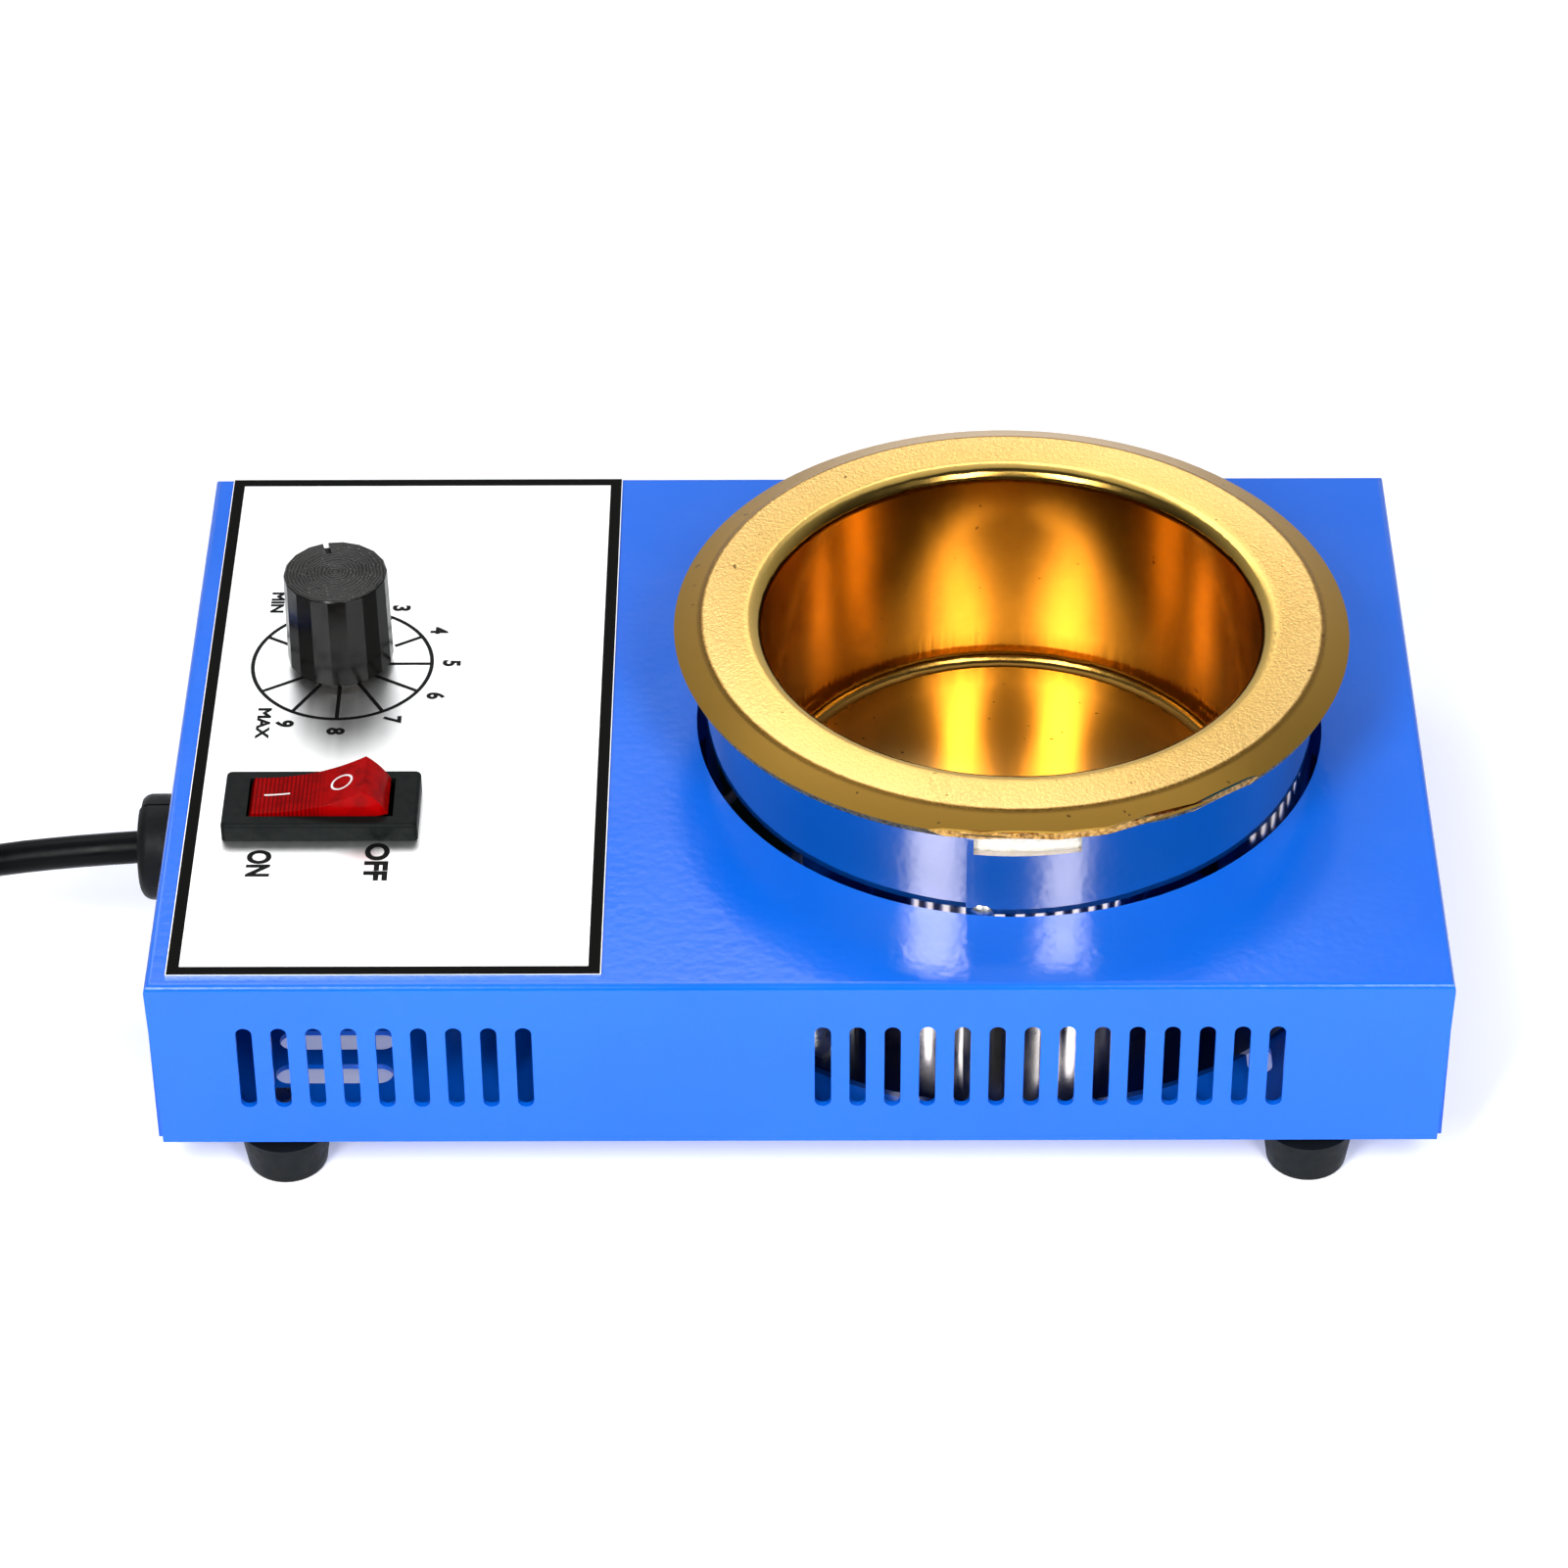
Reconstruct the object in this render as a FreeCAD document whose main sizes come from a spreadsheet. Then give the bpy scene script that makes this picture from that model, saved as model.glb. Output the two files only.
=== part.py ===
"""Solder pot: a gold bath in a mirror collar, let through the top of a folded, slotted sheet housing
with a dimmer knob and a rocker switch. Millimetres, +Z up, the table at z = 0, the front towards -Y."""
import FreeCAD, Part
import math
import os
import re
import Sketcher

Vector = FreeCAD.Vector

# Driving sizes: name, number, what it measures.
SIZES = (
    ("cover_width", 200.6, "folded cover, left to right"),
    ("cover_depth", 134, "folded cover, front to back"),
    ("cover_height", 31.8, "flaps of the cover, top face to lower edge"),
    ("cover_sheet", 1.0, "steel sheet of the cover"),
    ("bend_radius", 1.2, "outside of the cover's bends"),
    ("seam_gap", 0.35, "slit between a front or back flap and a side flap"),
    ("flap_taper", 0.8, "how far a front or back flap narrows at its lower corners"),
    ("press_gap", 0.05, "between pieces that are clamped or pressed together"),
    ("tray_sheet", 1.0, "steel sheet of the tray"),
    ("tray_show", 0.6, "tray that shows below the cover"),
    ("tray_gap", 0.2, "tray to the inside of the cover"),
    ("tab_length", 16, "upturned tab of the tray"),
    ("tab_height", 13, "upturned tab of the tray"),
    ("tab_inset", 19, "middle of a tab from the front or the back"),
    ("side_screw_height", 7.5, "side screw above the underside of the tray"),
    ("vent_width", 2.55, "upright slot"),
    ("vent_length", 16.2, "upright slot"),
    ("vent_rise", 7.3, "lower end of a slot above the cover's lower edge"),
    ("vent_pitch", 5.38, "slot to slot"),
    ("left_vents", 9, "slots of the left group"),
    ("left_vents_inset", 14.8, "first slot of the left group from the left side"),
    ("right_vents", 14, "slots of the right group"),
    ("right_vents_inset", 96.67, "first slot of the right group from the right side"),
    ("side_vents", 10, "slots of the right side"),
    ("floor_slot_width", 4.5, "slot in the tray"),
    ("floor_slot_length", 18.6, "slot in the tray"),
    ("floor_slot_inset", 26.6, "middle of the slots in the tray from the left side"),
    ("floor_slot_start", -51.5, "first slot in the tray"),
    ("floor_slot_pitch", 8.05, "slot to slot in the tray"),
    ("floor_slots", 13, "slots in the tray"),
    ("floor_eye_inset", 27.3, "long hole in the tray from the right side"),
    ("floor_eye_start", -51.8, "front end of that hole"),
    ("floor_eye_width", 4, "long hole in the tray"),
    ("floor_eye_length", 7, "long hole in the tray"),
    ("foot_height", 8.8, "rubber foot"),
    ("foot_top_radius", 7.3, "rubber foot at its widest"),
    ("foot_radius", 6.3, "rubber foot at the table"),
    ("foot_neck", 1.2, "narrower neck between that foot and the tray"),
    ("foot_neck_radius", 4.5, "neck of the foot"),
    ("foot_side_inset", 19.8, "foot from the left or right side"),
    ("foot_end_inset", 6.8, "foot from the front or the back"),
    ("foot_shift", -0.5, "the feet to the right of the middle"),
    ("foot_round", 0.6, "lower edge of the foot"),
    ("foot_recess_radius", 3.6, "recess for the screw's head"),
    ("foot_recess", 4, "depth of that recess"),
    ("screw_radius", 1.5, "M3 screws"),
    ("screw_head_radius", 2.8, "M3 screws"),
    ("screw_head", 1.9, "height of an M3 pan head"),
    ("screw_clearance", 0.2, "hole round an M3 screw, on the radius"),
    ("nut_flats", 5.5, "M3 nut across flats"),
    ("nut_height", 2.4, "M3 nut"),
    ("pot_inset", 66.3, "axis of the bath from the right side"),
    ("hole_gap", 1.4, "collar to its opening in the cover"),
    ("rim_rise", 20.6, "rim of the bath above the cover"),
    ("bath_depth", 38.6, "rim to the raised floor"),
    ("bath_wall", 1.5, "sheet of the bath"),
    ("rim_round", 2.7, "rounding from the rim into the bath"),
    ("rim_reach", 0.4, "outer edge of the flat of the rim beyond the collar"),
    ("lip_reach", 4.4, "turned-down lip beyond that edge"),
    ("lip_drop", 1.9, "lip below the flat of the rim"),
    ("floor_round", 2.5, "rounding from the wall into the floor"),
    ("floor_step", 0.75, "width of the step up to the raised floor"),
    ("floor_rise", 1.0, "raised floor above its channel"),
    ("lip_trim", 0.7, "width lost from the lip at the front"),
    ("collar_radius", 49.2, "outside of the collar"),
    ("collar_sheet", 0.6, "polished sheet of the collar"),
    ("collar_notch", 7.7, "depth of the notch at the top of the collar"),
    ("notch_start", -1.5, "left edge of that notch from the seam's rivets"),
    ("notch_end", 15, "right edge of that notch from the seam's rivets"),
    ("lead_gate", 12, "width of the gate for the heater's leads"),
    ("lead_gate_height", 6, "gate above the heat shield"),
    ("seam_turn", 6.5, "degrees from the front to the row of rivets, clockwise"),
    ("seam_lap", 2.5, "edge of the lap beyond the rivets"),
    ("lap_reach", 30, "length over which the lap fades"),
    ("rivet_radius", 2.0, "head of a rivet"),
    ("rivet_head", 0.7, "height of a rivet's head"),
    ("rivet_shank", 1.0, "radius of a rivet's shank"),
    ("rivet_rise", 29.7, "upper rivet above the heat shield"),
    ("rivet_pitch", 20, "rivet to rivet"),
    ("shield_margin", 11, "heat shield beyond the collar"),
    ("shield_sheet", 1.0, "heat shield"),
    ("bracket_width", 10, "angle that holds the collar"),
    ("bracket_height", 10, "angle that holds the collar"),
    ("bracket_sheet", 1.0, "angle that holds the collar"),
    ("bracket_foot", 8.6, "foot of that angle"),
    ("bracket_screw_in", 3.4, "its screw from the end of the foot"),
    ("stud_radius", 2, "M4 stud under the bath"),
    ("stud_length", 17.5, "stud under the bath"),
    ("stud_clearance", 0.3, "hole round the stud, on the radius"),
    ("stud_nut_flats", 7, "M4 nut across flats"),
    ("stud_nut_height", 3.2, "M4 nut"),
    ("heater_gap", 0.2, "heater to the bath"),
    ("heater_thickness", 2.9, "band heater"),
    ("heater_height", 30, "band heater"),
    ("heater_rise", 3.5, "band heater above the bath's channel"),
    ("heater_split", 7, "gap between the heater's ends"),
    ("strap_sheet", 0.5, "clamping strap of the heater"),
    ("strap_height", 9, "clamping strap of the heater"),
    ("strap_split", 4, "gap between the strap's ears"),
    ("ear_reach", 3.4, "ears of the strap"),
    ("strap_screw_radius", 0.95, "screw of the strap"),
    ("wool_thickness", 2.9, "insulating sleeve"),
    ("wool_gap", 0.25, "sleeve to the collar"),
    ("wool_margin", 0.3, "sleeve to the rim and to the heat shield"),
    ("strap_room", 1.1, "band heater to the sleeve"),
    ("pad_inset", 1.45, "insulating pad under the bath to the sleeve"),
    ("pad_gap", 0.2, "pad to the bath"),
    ("plate_left_inset", 3.25, "faceplate from the left side"),
    ("plate_hole_inset", 13.7, "faceplate from the opening for the collar"),
    ("plate_front_inset", 2.4, "faceplate from the front"),
    ("plate_back_inset", 1.1, "faceplate from the back"),
    ("plate_sheet", 0.5, "faceplate"),
    ("switch_inset", 24.7, "middle of the switch from the left side"),
    ("switch_y", -25.3, "middle of the switch"),
    ("bezel_length", 31, "frame of the switch"),
    ("bezel_width", 14, "frame of the switch"),
    ("bezel_height", 3.3, "frame of the switch"),
    ("bezel_round", 0.7, "edges of that frame"),
    ("bezel_corner", 0.9, "corners of that frame"),
    ("switch_length", 27.6, "switch below its frame"),
    ("switch_width", 12, "switch below its frame"),
    ("switch_depth", 16, "switch below the faceplate"),
    ("latch_root", 0.5, "latch of the switch inside its side"),
    ("latch_reach", 0.9, "latch beyond the side of the switch"),
    ("latch_gap", 0.15, "latch below the cover's sheet"),
    ("latch_height", 5, "latch from its edge to its end"),
    ("switch_clearance", 0.2, "cut-out round the switch"),
    ("well_width", 9.6, "well of the rocker"),
    ("well_gap", 0.6, "rocker's ends to the well"),
    ("pivot_depth", 5, "rocker's pins below the top of the frame"),
    ("rocker_radius", 12, "ends of the rocker from its pins"),
    ("rocker_reach", 9.18, "edge of the rocker's top from its pins, sideways"),
    ("rocker_rise", 7.73, "edge of the rocker's top above its pins"),
    ("rocker_dip", 6.5, "middle of the rocker's top above its pins"),
    ("rocker_skirt", 2.5, "lower edge of the rocker's ends above its pins"),
    ("rocker_width", 9, "rocker"),
    ("rocker_tilt", 13.7, "degrees, as in the photo with its left end down"),
    ("hub_radius", 2.6, "hub of the rocker"),
    ("pin_radius", 1.2, "pins of the rocker"),
    ("pin_reach", 1.05, "pins of the rocker into the walls"),
    ("blade_width", 4.8, "terminals of the switch"),
    ("blade_thickness", 0.8, "terminals of the switch"),
    ("blade_length", 8, "terminals of the switch"),
    ("blade_pitch", 8.4, "terminal to terminal, along"),
    ("blade_row", 6, "terminal to terminal, across"),
    ("dial_inset", 25.1, "axis of the knob from the left side"),
    ("dial_y", 14.3, "axis of the knob"),
    ("control_radius", 12, "body of the control"),
    ("control_height", 11, "body of the control"),
    ("bushing_radius", 3.5, "threaded bushing"),
    ("bushing_rise", 4.2, "bushing above the faceplate"),
    ("bushing_clearance", 0.2, "hole round the bushing"),
    ("washer_radius", 6.2, "washer under the nut"),
    ("washer_sheet", 0.4, "washer under the nut"),
    ("control_nut_flats", 10, "nut across flats"),
    ("control_nut_height", 1.7, "nut"),
    ("shaft_radius", 3, "shaft of the control"),
    ("shaft_flat", 1.5, "flat of the shaft from its axis"),
    ("shaft_fit", 0.02, "knob round the shaft"),
    ("shaft_seat", 3, "shaft inside the control"),
    ("shaft_room", 0.3, "round the shaft's end inside the control"),
    ("shaft_bore_depth", 9, "how far the shaft stands in the knob's bore"),
    ("lug_width", 3, "lugs of the control"),
    ("lug_thickness", 0.6, "lugs of the control"),
    ("lug_length", 7, "lugs of the control"),
    ("lug_pitch", 5, "lug to lug"),
    ("knob_facets", 18, "facets of the knob"),
    ("knob_radius", 8.65, "corner of the knob at its foot"),
    ("knob_height", 17.5, "knob"),
    ("knob_lift", 0.9, "knob above the faceplate"),
    ("knob_draft", 0.8, "degrees that the facets lean in"),
    ("knob_foot_bevel", 0.8, "bevel round the foot of the knob"),
    ("knob_top_bevel", 0.25, "bevel round the top of the knob"),
    ("knob_recess_radius", 6.8, "hollow under the knob"),
    ("knob_recess", 4.3, "depth of that hollow"),
    ("knob_bore_depth", 9.3, "bore above that hollow"),
    ("pointer_length", 3.3, "notch in the knob's top"),
    ("pointer_width", 0.9, "notch in the knob's top"),
    ("pointer_depth", 1.2, "notch in the knob's top"),
    ("pointer_turn", 105, "degrees, the knob as in the photo"),
    ("board_share", 0.225, "middle of the circuit board left of the middle, as a share of the width"),
    ("board_y", -3, "middle of the circuit board"),
    ("board_width", 27, "circuit board"),
    ("board_length", 74, "circuit board"),
    ("board_sheet", 1.6, "circuit board"),
    ("standoff_height", 6, "nylon spacer"),
    ("standoff_radius", 2.6, "nylon spacer"),
    ("standoff_inset", 4, "spacer from the board's edges"),
    ("sink_width", 22, "heat sink"),
    ("sink_height", 19, "heat sink"),
    ("sink_depth", 10, "heat sink"),
    ("sink_wall", 1.6, "heat sink"),
    ("sink_y", 22, "back of the heat sink"),
    ("triac_width", 10, "triac"),
    ("triac_thickness", 4.4, "triac"),
    ("triac_height", 9, "body of the triac"),
    ("triac_legs", 4, "body of the triac above the board"),
    ("capacitor_length", 17, "capacitor"),
    ("capacitor_width", 8, "capacitor"),
    ("capacitor_height", 14, "capacitor"),
    ("resistor_radius", 1.7, "resistor"),
    ("resistor_length", 9, "resistor"),
    ("resistor_pitch", 7, "resistor to resistor"),
    ("block_length", 20, "terminal block"),
    ("block_width", 9, "terminal block"),
    ("block_height", 10, "terminal block"),
    ("block_ways", 4, "ways of the terminal block"),
    ("wire_radius", 0.9, "insulated wires inside"),
    ("wire_seat", 0.15, "end of a wire to what it is joined to"),
    ("lead_bend", 4.5, "where the heater's leads bend outside the heater"),
    ("lead_reach", 10, "the heater's leads beyond that bend"),
    ("lead_clear", 11.3, "the heater's leads beside the collar"),
    ("lead_bow", 22, "how far behind the block the heater's leads turn"),
    ("lead_lift", 7, "the heater's leads above their gate"),
    ("lead_approach", 14, "last bend of the heater's leads behind the block"),
    ("neutral_pass", 5.5, "neutral wire beside the middle of the switch"),
    ("live_swing", 8.5, "live wire beside the block"),
    ("live_dip", 12.5, "live wire in front of the block"),
    ("earth_tag_inset", 12.3, "middle of the earth tag on the tray from the left side"),
    ("earth_tag_y", 6, "middle of the earth tag on the tray"),
    ("earth_tag_width", 6.3, "earth tag"),
    ("earth_tag_height", 9, "earth tag"),
    ("earth_tag_sheet", 0.8, "earth tag"),
    ("gland_y", -14.6, "cord's gland on the left flap"),
    ("gland_rise", 16.8, "gland above the cover's lower edge"),
    ("gland_radius", 8.6, "head of the gland"),
    ("gland_reach", 6.2, "head of the gland outside the flap"),
    ("gland_round", 2, "edge of that head"),
    ("gland_seam", 0.4, "groove between the two halves of that head"),
    ("gland_step", 0.5, "how far the rear half of that head stands back"),
    ("gland_neck_radius", 6, "neck of the gland in the flap"),
    ("gland_neck", 8, "neck of the gland inside the flap"),
    ("gland_clearance", 0.15, "hole round the neck"),
    ("lock_radius", 8.2, "locking ring inside"),
    ("lock_thickness", 3, "locking ring inside"),
    ("cord_diameter", 5.3, "round mains cord"),
    ("coil_away", 95, "middle of the coil from the left side"),
    ("coil_y", 27, "middle of the coil"),
    ("coil_radius", 29, "middle of the coil's turns"),
    ("plug_away", 54, "middle of the plug from the left side"),
    ("plug_width", 34, "plug"),
    ("plug_thickness", 14, "plug"),
    ("plug_round", 1.5, "edges of the plug"),
    ("plug_back", -28, "end of the plug that the cord enters"),
    ("plug_length", 36, "plug"),
    ("plug_relief", 14, "strain relief of the plug"),
    ("plug_relief_radius", 5, "strain relief at the plug"),
    ("plug_blade_ring", 7.9, "blades from the middle of the plug's face"),
    ("plug_blade_length", 17, "blades of the plug"),
    ("plug_blade_width", 6.3, "blades of the plug"),
    ("plug_blade_thickness", 1.5, "blades of the plug"),
)

# Places that follow from the sizes.
PLACES = {
    "tray_under": "foot_height",
    "tray_floor": "tray_under + tray_sheet",
    "cover_edge": "tray_under + tray_show",
    "cover_top": "cover_edge + cover_height",
    "cover_under": "cover_top - cover_sheet",
    "plate_top": "cover_top + plate_sheet",
    "tray_side": "cover_width / 2 - cover_sheet - tray_gap",
    "tray_end": "cover_depth / 2 - cover_sheet - tray_gap",
    "side_screw_z": "tray_under + side_screw_height",
    "screw_hole": "screw_radius + screw_clearance",
    "tab_place": "cover_depth / 2 - tab_inset",
    "left_vents_start": "left_vents_inset - cover_width / 2",
    "right_vents_start": "cover_width / 2 - right_vents_inset",
    "floor_slot_x": "floor_slot_inset - cover_width / 2",
    "foot_x": "cover_width / 2 - foot_side_inset",
    "foot_left": "foot_shift - foot_x",
    "foot_right": "foot_shift + foot_x",
    "foot_y": "cover_depth / 2 - foot_end_inset",
    "pot_x": "cover_width / 2 - pot_inset",
    "hole_radius": "collar_radius + hole_gap",
    "rim_top": "cover_top + rim_rise",
    "rim_under": "rim_top - bath_wall",
    "bath_floor": "rim_top - bath_depth",
    "bath_channel": "bath_floor - floor_rise",
    "bath_under": "bath_floor - bath_wall",
    "bath_outside": "wool_inside - strap_room - heater_thickness - heater_gap",
    "bath_radius": "bath_outside - bath_wall",
    "rim_radius": "collar_radius + rim_reach",
    "lip_radius": "rim_radius + lip_reach",
    "channel_in": "bath_radius - floor_round",
    "shield_top": "tray_floor + shield_sheet",
    "collar_inside": "collar_radius - collar_sheet",
    "shield_radius": "collar_radius + shield_margin",
    "bracket_screw": "collar_radius + bracket_foot - bracket_screw_in",
    "heater_inside": "bath_outside + heater_gap",
    "heater_outside": "heater_inside + heater_thickness",
    "heater_low": "bath_channel + heater_rise",
    "strap_outside": "heater_outside + press_gap + strap_sheet",
    "strap_middle": "heater_low + heater_height / 2",
    "wool_outside": "collar_inside - wool_gap",
    "wool_inside": "wool_outside - wool_thickness",
    "pad_radius": "wool_inside - pad_inset",
    "plate_left": "plate_left_inset - cover_width / 2",
    "plate_right": "pot_x - hole_radius - plate_hole_inset",
    "plate_front": "plate_front_inset - cover_depth / 2",
    "plate_back": "cover_depth / 2 - plate_back_inset",
    "switch_x": "switch_inset - cover_width / 2",
    "dial_x": "dial_inset - cover_width / 2",
    "bezel_top": "plate_top + bezel_height",
    "pivot_z": "bezel_top - pivot_depth",
    "switch_under": "plate_top - switch_depth",
    "bushing_top": "plate_top + bushing_rise",
    "control_under": "cover_under - control_height",
    "knob_foot": "plate_top + knob_lift",
    "knob_bore": "knob_foot + knob_recess",
    "board_x": "-board_share * cover_width",
    "board_under": "tray_floor + standoff_height",
    "board_top": "board_under + board_sheet",
    "earth_tag_x": "earth_tag_inset - cover_width / 2",
    "gland_z": "cover_edge + gland_rise",
    "gland_inside": "cover_width / 2 - cover_sheet - gland_neck",
    "cord_radius": "cord_diameter / 2",
    "coil_x": "-cover_width / 2 - coil_away",
    "plug_x": "-cover_width / 2 - plug_away",
}

document = FreeCAD.newDocument("solder_pot")
sheet = document.addObject("Spreadsheet::Sheet", "Sizes")
for row, (name, number, meaning) in enumerate(SIZES, start=1):
    sheet.set(f"A{row}", meaning)
    sheet.set(f"B{row}", str(number))
    sheet.setAlias(f"B{row}", name)
document.recompute()

SIZE_NAMES = re.compile(r"\b(" + "|".join(name for name, number, meaning in SIZES) + r")\b")
PLACE_NAMES = re.compile(r"\b(" + "|".join(PLACES) + r")\b")


def bound(text):
    """The expression with each place written out and each size turned into its cell."""
    while PLACE_NAMES.search(text):
        text = PLACE_NAMES.sub(lambda found: "(" + PLACES[found.group(1)] + ")", text)
    return SIZE_NAMES.sub(r"Sizes.\1", text)


def value(text):
    """What the expression comes to now."""
    return float(sheet.evalExpression(bound(text)))


def place(made, x="0", y="0", z="0", axis=(0, 0, 1), angle="0"):
    """Puts an object at a bound place, turned by a bound angle."""
    made.Placement = FreeCAD.Placement(Vector(), FreeCAD.Rotation(Vector(axis), value(angle)))
    for side, text in zip("xyz", (x, y, z)):
        if text != "0":
            made.setExpression(f"Placement.Base.{side}", bound(text))
    if angle != "0":
        made.setExpression("Placement.Rotation.Angle", bound(angle))


def new_body(label):
    body = document.addObject("PartDesign::Body", label)
    body.Label = label
    return body


def new_sketch(body, plane, level="0"):
    """A sketch on one of the body's own planes, lifted along that plane's normal."""
    sketch = body.newObject("Sketcher::SketchObject", "Sketch")
    origin = [one for one in body.Origin.OriginFeatures if one.Role == plane + "_Plane"][0]
    sketch.AttachmentSupport = [(origin, "")]
    sketch.MapMode = "FlatFace"
    if level != "0":
        sketch.setExpression("AttachmentOffset.Base.z", bound(level))
    return sketch


def hold(sketch, kind, *where_and_text):
    """Adds a bound size to a sketch."""
    *where, text = where_and_text
    made = sketch.addConstraint(Sketcher.Constraint(kind, *where, value(text)))
    sketch.renameConstraint(made, f"size_{made}")
    sketch.setExpression(f"Constraints.size_{made}", bound(text))


def outline(sketch, *steps):
    """A closed outline of bound points (x, y). A third item is the radius of the arc that leads
    to the point, with a minus sign where that arc turns right."""
    points = [Vector(value(step[0]), value(step[1]), 0) for step in steps]
    edges = []
    for index, step in enumerate(steps):
        start, end = points[index - 1], points[index]
        if len(step) == 2:
            edges.append((sketch.addGeometry(Part.LineSegment(start, end), False), 1, 2))
            continue
        radius = value(step[2])
        half = (end - start) * 0.5
        rise = math.sqrt(max(radius**2 - half.Length**2, 0)) * math.copysign(1, radius)
        middle = start + half + Vector(-half.y, half.x, 0) * (rise / half.Length)
        first, last = (start, end) if radius > 0 else (end, start)
        angles = [math.atan2(p.y - middle.y, p.x - middle.x) for p in (first, last)]
        circle = Part.Circle(middle, Vector(0, 0, 1), abs(radius))
        made = sketch.addGeometry(Part.ArcOfCircle(circle, *angles), False)
        edges.append((made, 1, 2) if radius > 0 else (made, 2, 1))
    for index, (edge, start, end) in enumerate(edges):
        after, after_start, after_end = edges[(index + 1) % len(edges)]
        sketch.addConstraint(Sketcher.Constraint("Coincident", edge, end, after, after_start))
        hold(sketch, "DistanceX", -1, 1, edge, end, steps[index][0])
        hold(sketch, "DistanceY", -1, 1, edge, end, steps[index][1])
        if len(steps[index]) == 3:
            hold(sketch, "Radius", edge, steps[index][2].lstrip("-"))


def ring(sketch, radius, x="0", y="0"):
    """A bound circle."""
    circle = Part.Circle(Vector(value(x), value(y), 0), Vector(0, 0, 1), value(radius))
    made = sketch.addGeometry(circle, False)
    hold(sketch, "Radius", made, radius)
    hold(sketch, "DistanceX", -1, 1, made, 3, x)
    hold(sketch, "DistanceY", -1, 1, made, 3, y)


def box_outline(sketch, left, low, right, high):
    outline(sketch, (left, low), (right, low), (right, high), (left, high))


def slot_outline(sketch, x, y, width, length):
    """An upright slot with round ends, (x, y) at its lower end."""
    left, right, end = f"{x} - {width} / 2", f"{x} + {width} / 2", f"{y} + {length}"
    low, high, round_end = f"{y} + {width} / 2", f"{end} - {width} / 2", f"{width} / 2"
    outline(
        sketch,
        (right, high),
        (x, end, round_end),
        (left, high, round_end),
        (left, low),
        (x, y, round_end),
        (right, low, round_end),
    )


def hexagon(sketch, flats, x="0", y="0"):
    reach = f"{flats} / 2 / cos(30)"
    turns = range(0, 360, 60)
    steps = [(f"{x} + {reach} * cos({turn})", f"{y} + {reach} * sin({turn})") for turn in turns]
    outline(sketch, *steps)


def pad(body, sketch, length, symmetric=False, down=False, draft="0"):
    made = body.newObject("PartDesign::Pad", "Pad")
    made.Profile = sketch
    made.setExpression("Length", bound(length))
    made.SideType = "Symmetric" if symmetric else "One side"
    made.Reversed = down
    if draft != "0":
        made.setExpression("TaperAngle", bound(draft))
    sketch.Visibility = False
    document.recompute()
    return made


def pocket(body, sketch, length, symmetric=False, up=False):
    """Cuts against the sketch's normal, or along it. It has to take something away."""
    before = body.Shape.Volume
    made = body.newObject("PartDesign::Pocket", "Pocket")
    made.Profile = sketch
    made.setExpression("Length", bound(length))
    made.SideType = "Symmetric" if symmetric else "One side"
    made.Reversed = up
    sketch.Visibility = False
    document.recompute()
    if body.Shape.Volume >= before:
        raise RuntimeError(f"{body.Label}: a pocket cuts nothing")
    return made


def revolve(body, sketch):
    """Turns an outline round the upright axis of its sketch."""
    made = body.newObject("PartDesign::Revolution", "Revolution")
    made.Profile = sketch
    made.ReferenceAxis = (sketch, ["V_Axis"])
    made.Angle = 360
    sketch.Visibility = False
    document.recompute()
    return made


def repeat(body, feature, sketch, axis, pitch, count):
    """A row of copies of a feature along an axis of its sketch."""
    made = body.newObject("PartDesign::LinearPattern", "Row")
    made.Originals = [feature]
    made.Direction = (sketch, [axis])
    made.Mode = "Spacing"
    made.setExpression("Offset", bound(pitch))
    made.setExpression("Occurrences", bound(count))
    body.Tip = made
    document.recompute()
    return made


def turn_round(body, feature, sketch, count):
    """Copies of a feature round the normal of its sketch."""
    made = body.newObject("PartDesign::PolarPattern", "Round")
    made.Originals = [feature]
    made.Axis = (sketch, ["N_Axis"])
    made.Angle = 360
    made.setExpression("Occurrences", bound(count))
    body.Tip = made
    document.recompute()
    return made


def edges_where(feature, test):
    """Names of a feature's edges whose ends all pass the test."""
    return [
        f"Edge{number}"
        for number, edge in enumerate(feature.Shape.Edges, start=1)
        if all(test(vertex.Point) for vertex in edge.Vertexes)
    ]


def soften(body, feature, names, size, kind="Fillet"):
    """A fillet or a chamfer on named edges."""
    made = body.newObject("PartDesign::" + kind, kind)
    made.Base = (feature, names)
    made.setExpression("Radius" if kind == "Fillet" else "Size", bound(size))
    document.recompute()
    return made


def at_height(z):
    return lambda point: abs(point.z - z) < 1e-4


def copies(label, source, places):
    """One node of separate like solids: a place is (x, y, z) and may add an axis and an angle."""
    links = []
    for number, (x, y, z, *turn) in enumerate(places, start=1):
        link = document.addObject("App::Link", f"{label}_{number}")
        link.LinkedObject = source
        axis, angle = turn if turn else ((0, 0, 1), "0")
        place(link, x, y, z, axis, angle)
        links.append(link)
    made = document.addObject("Part::Compound", label)
    made.Links = links
    made.Label = label
    document.recompute()
    return made


# The cover: one sheet folded down on four sides, its corners left open.


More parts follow.
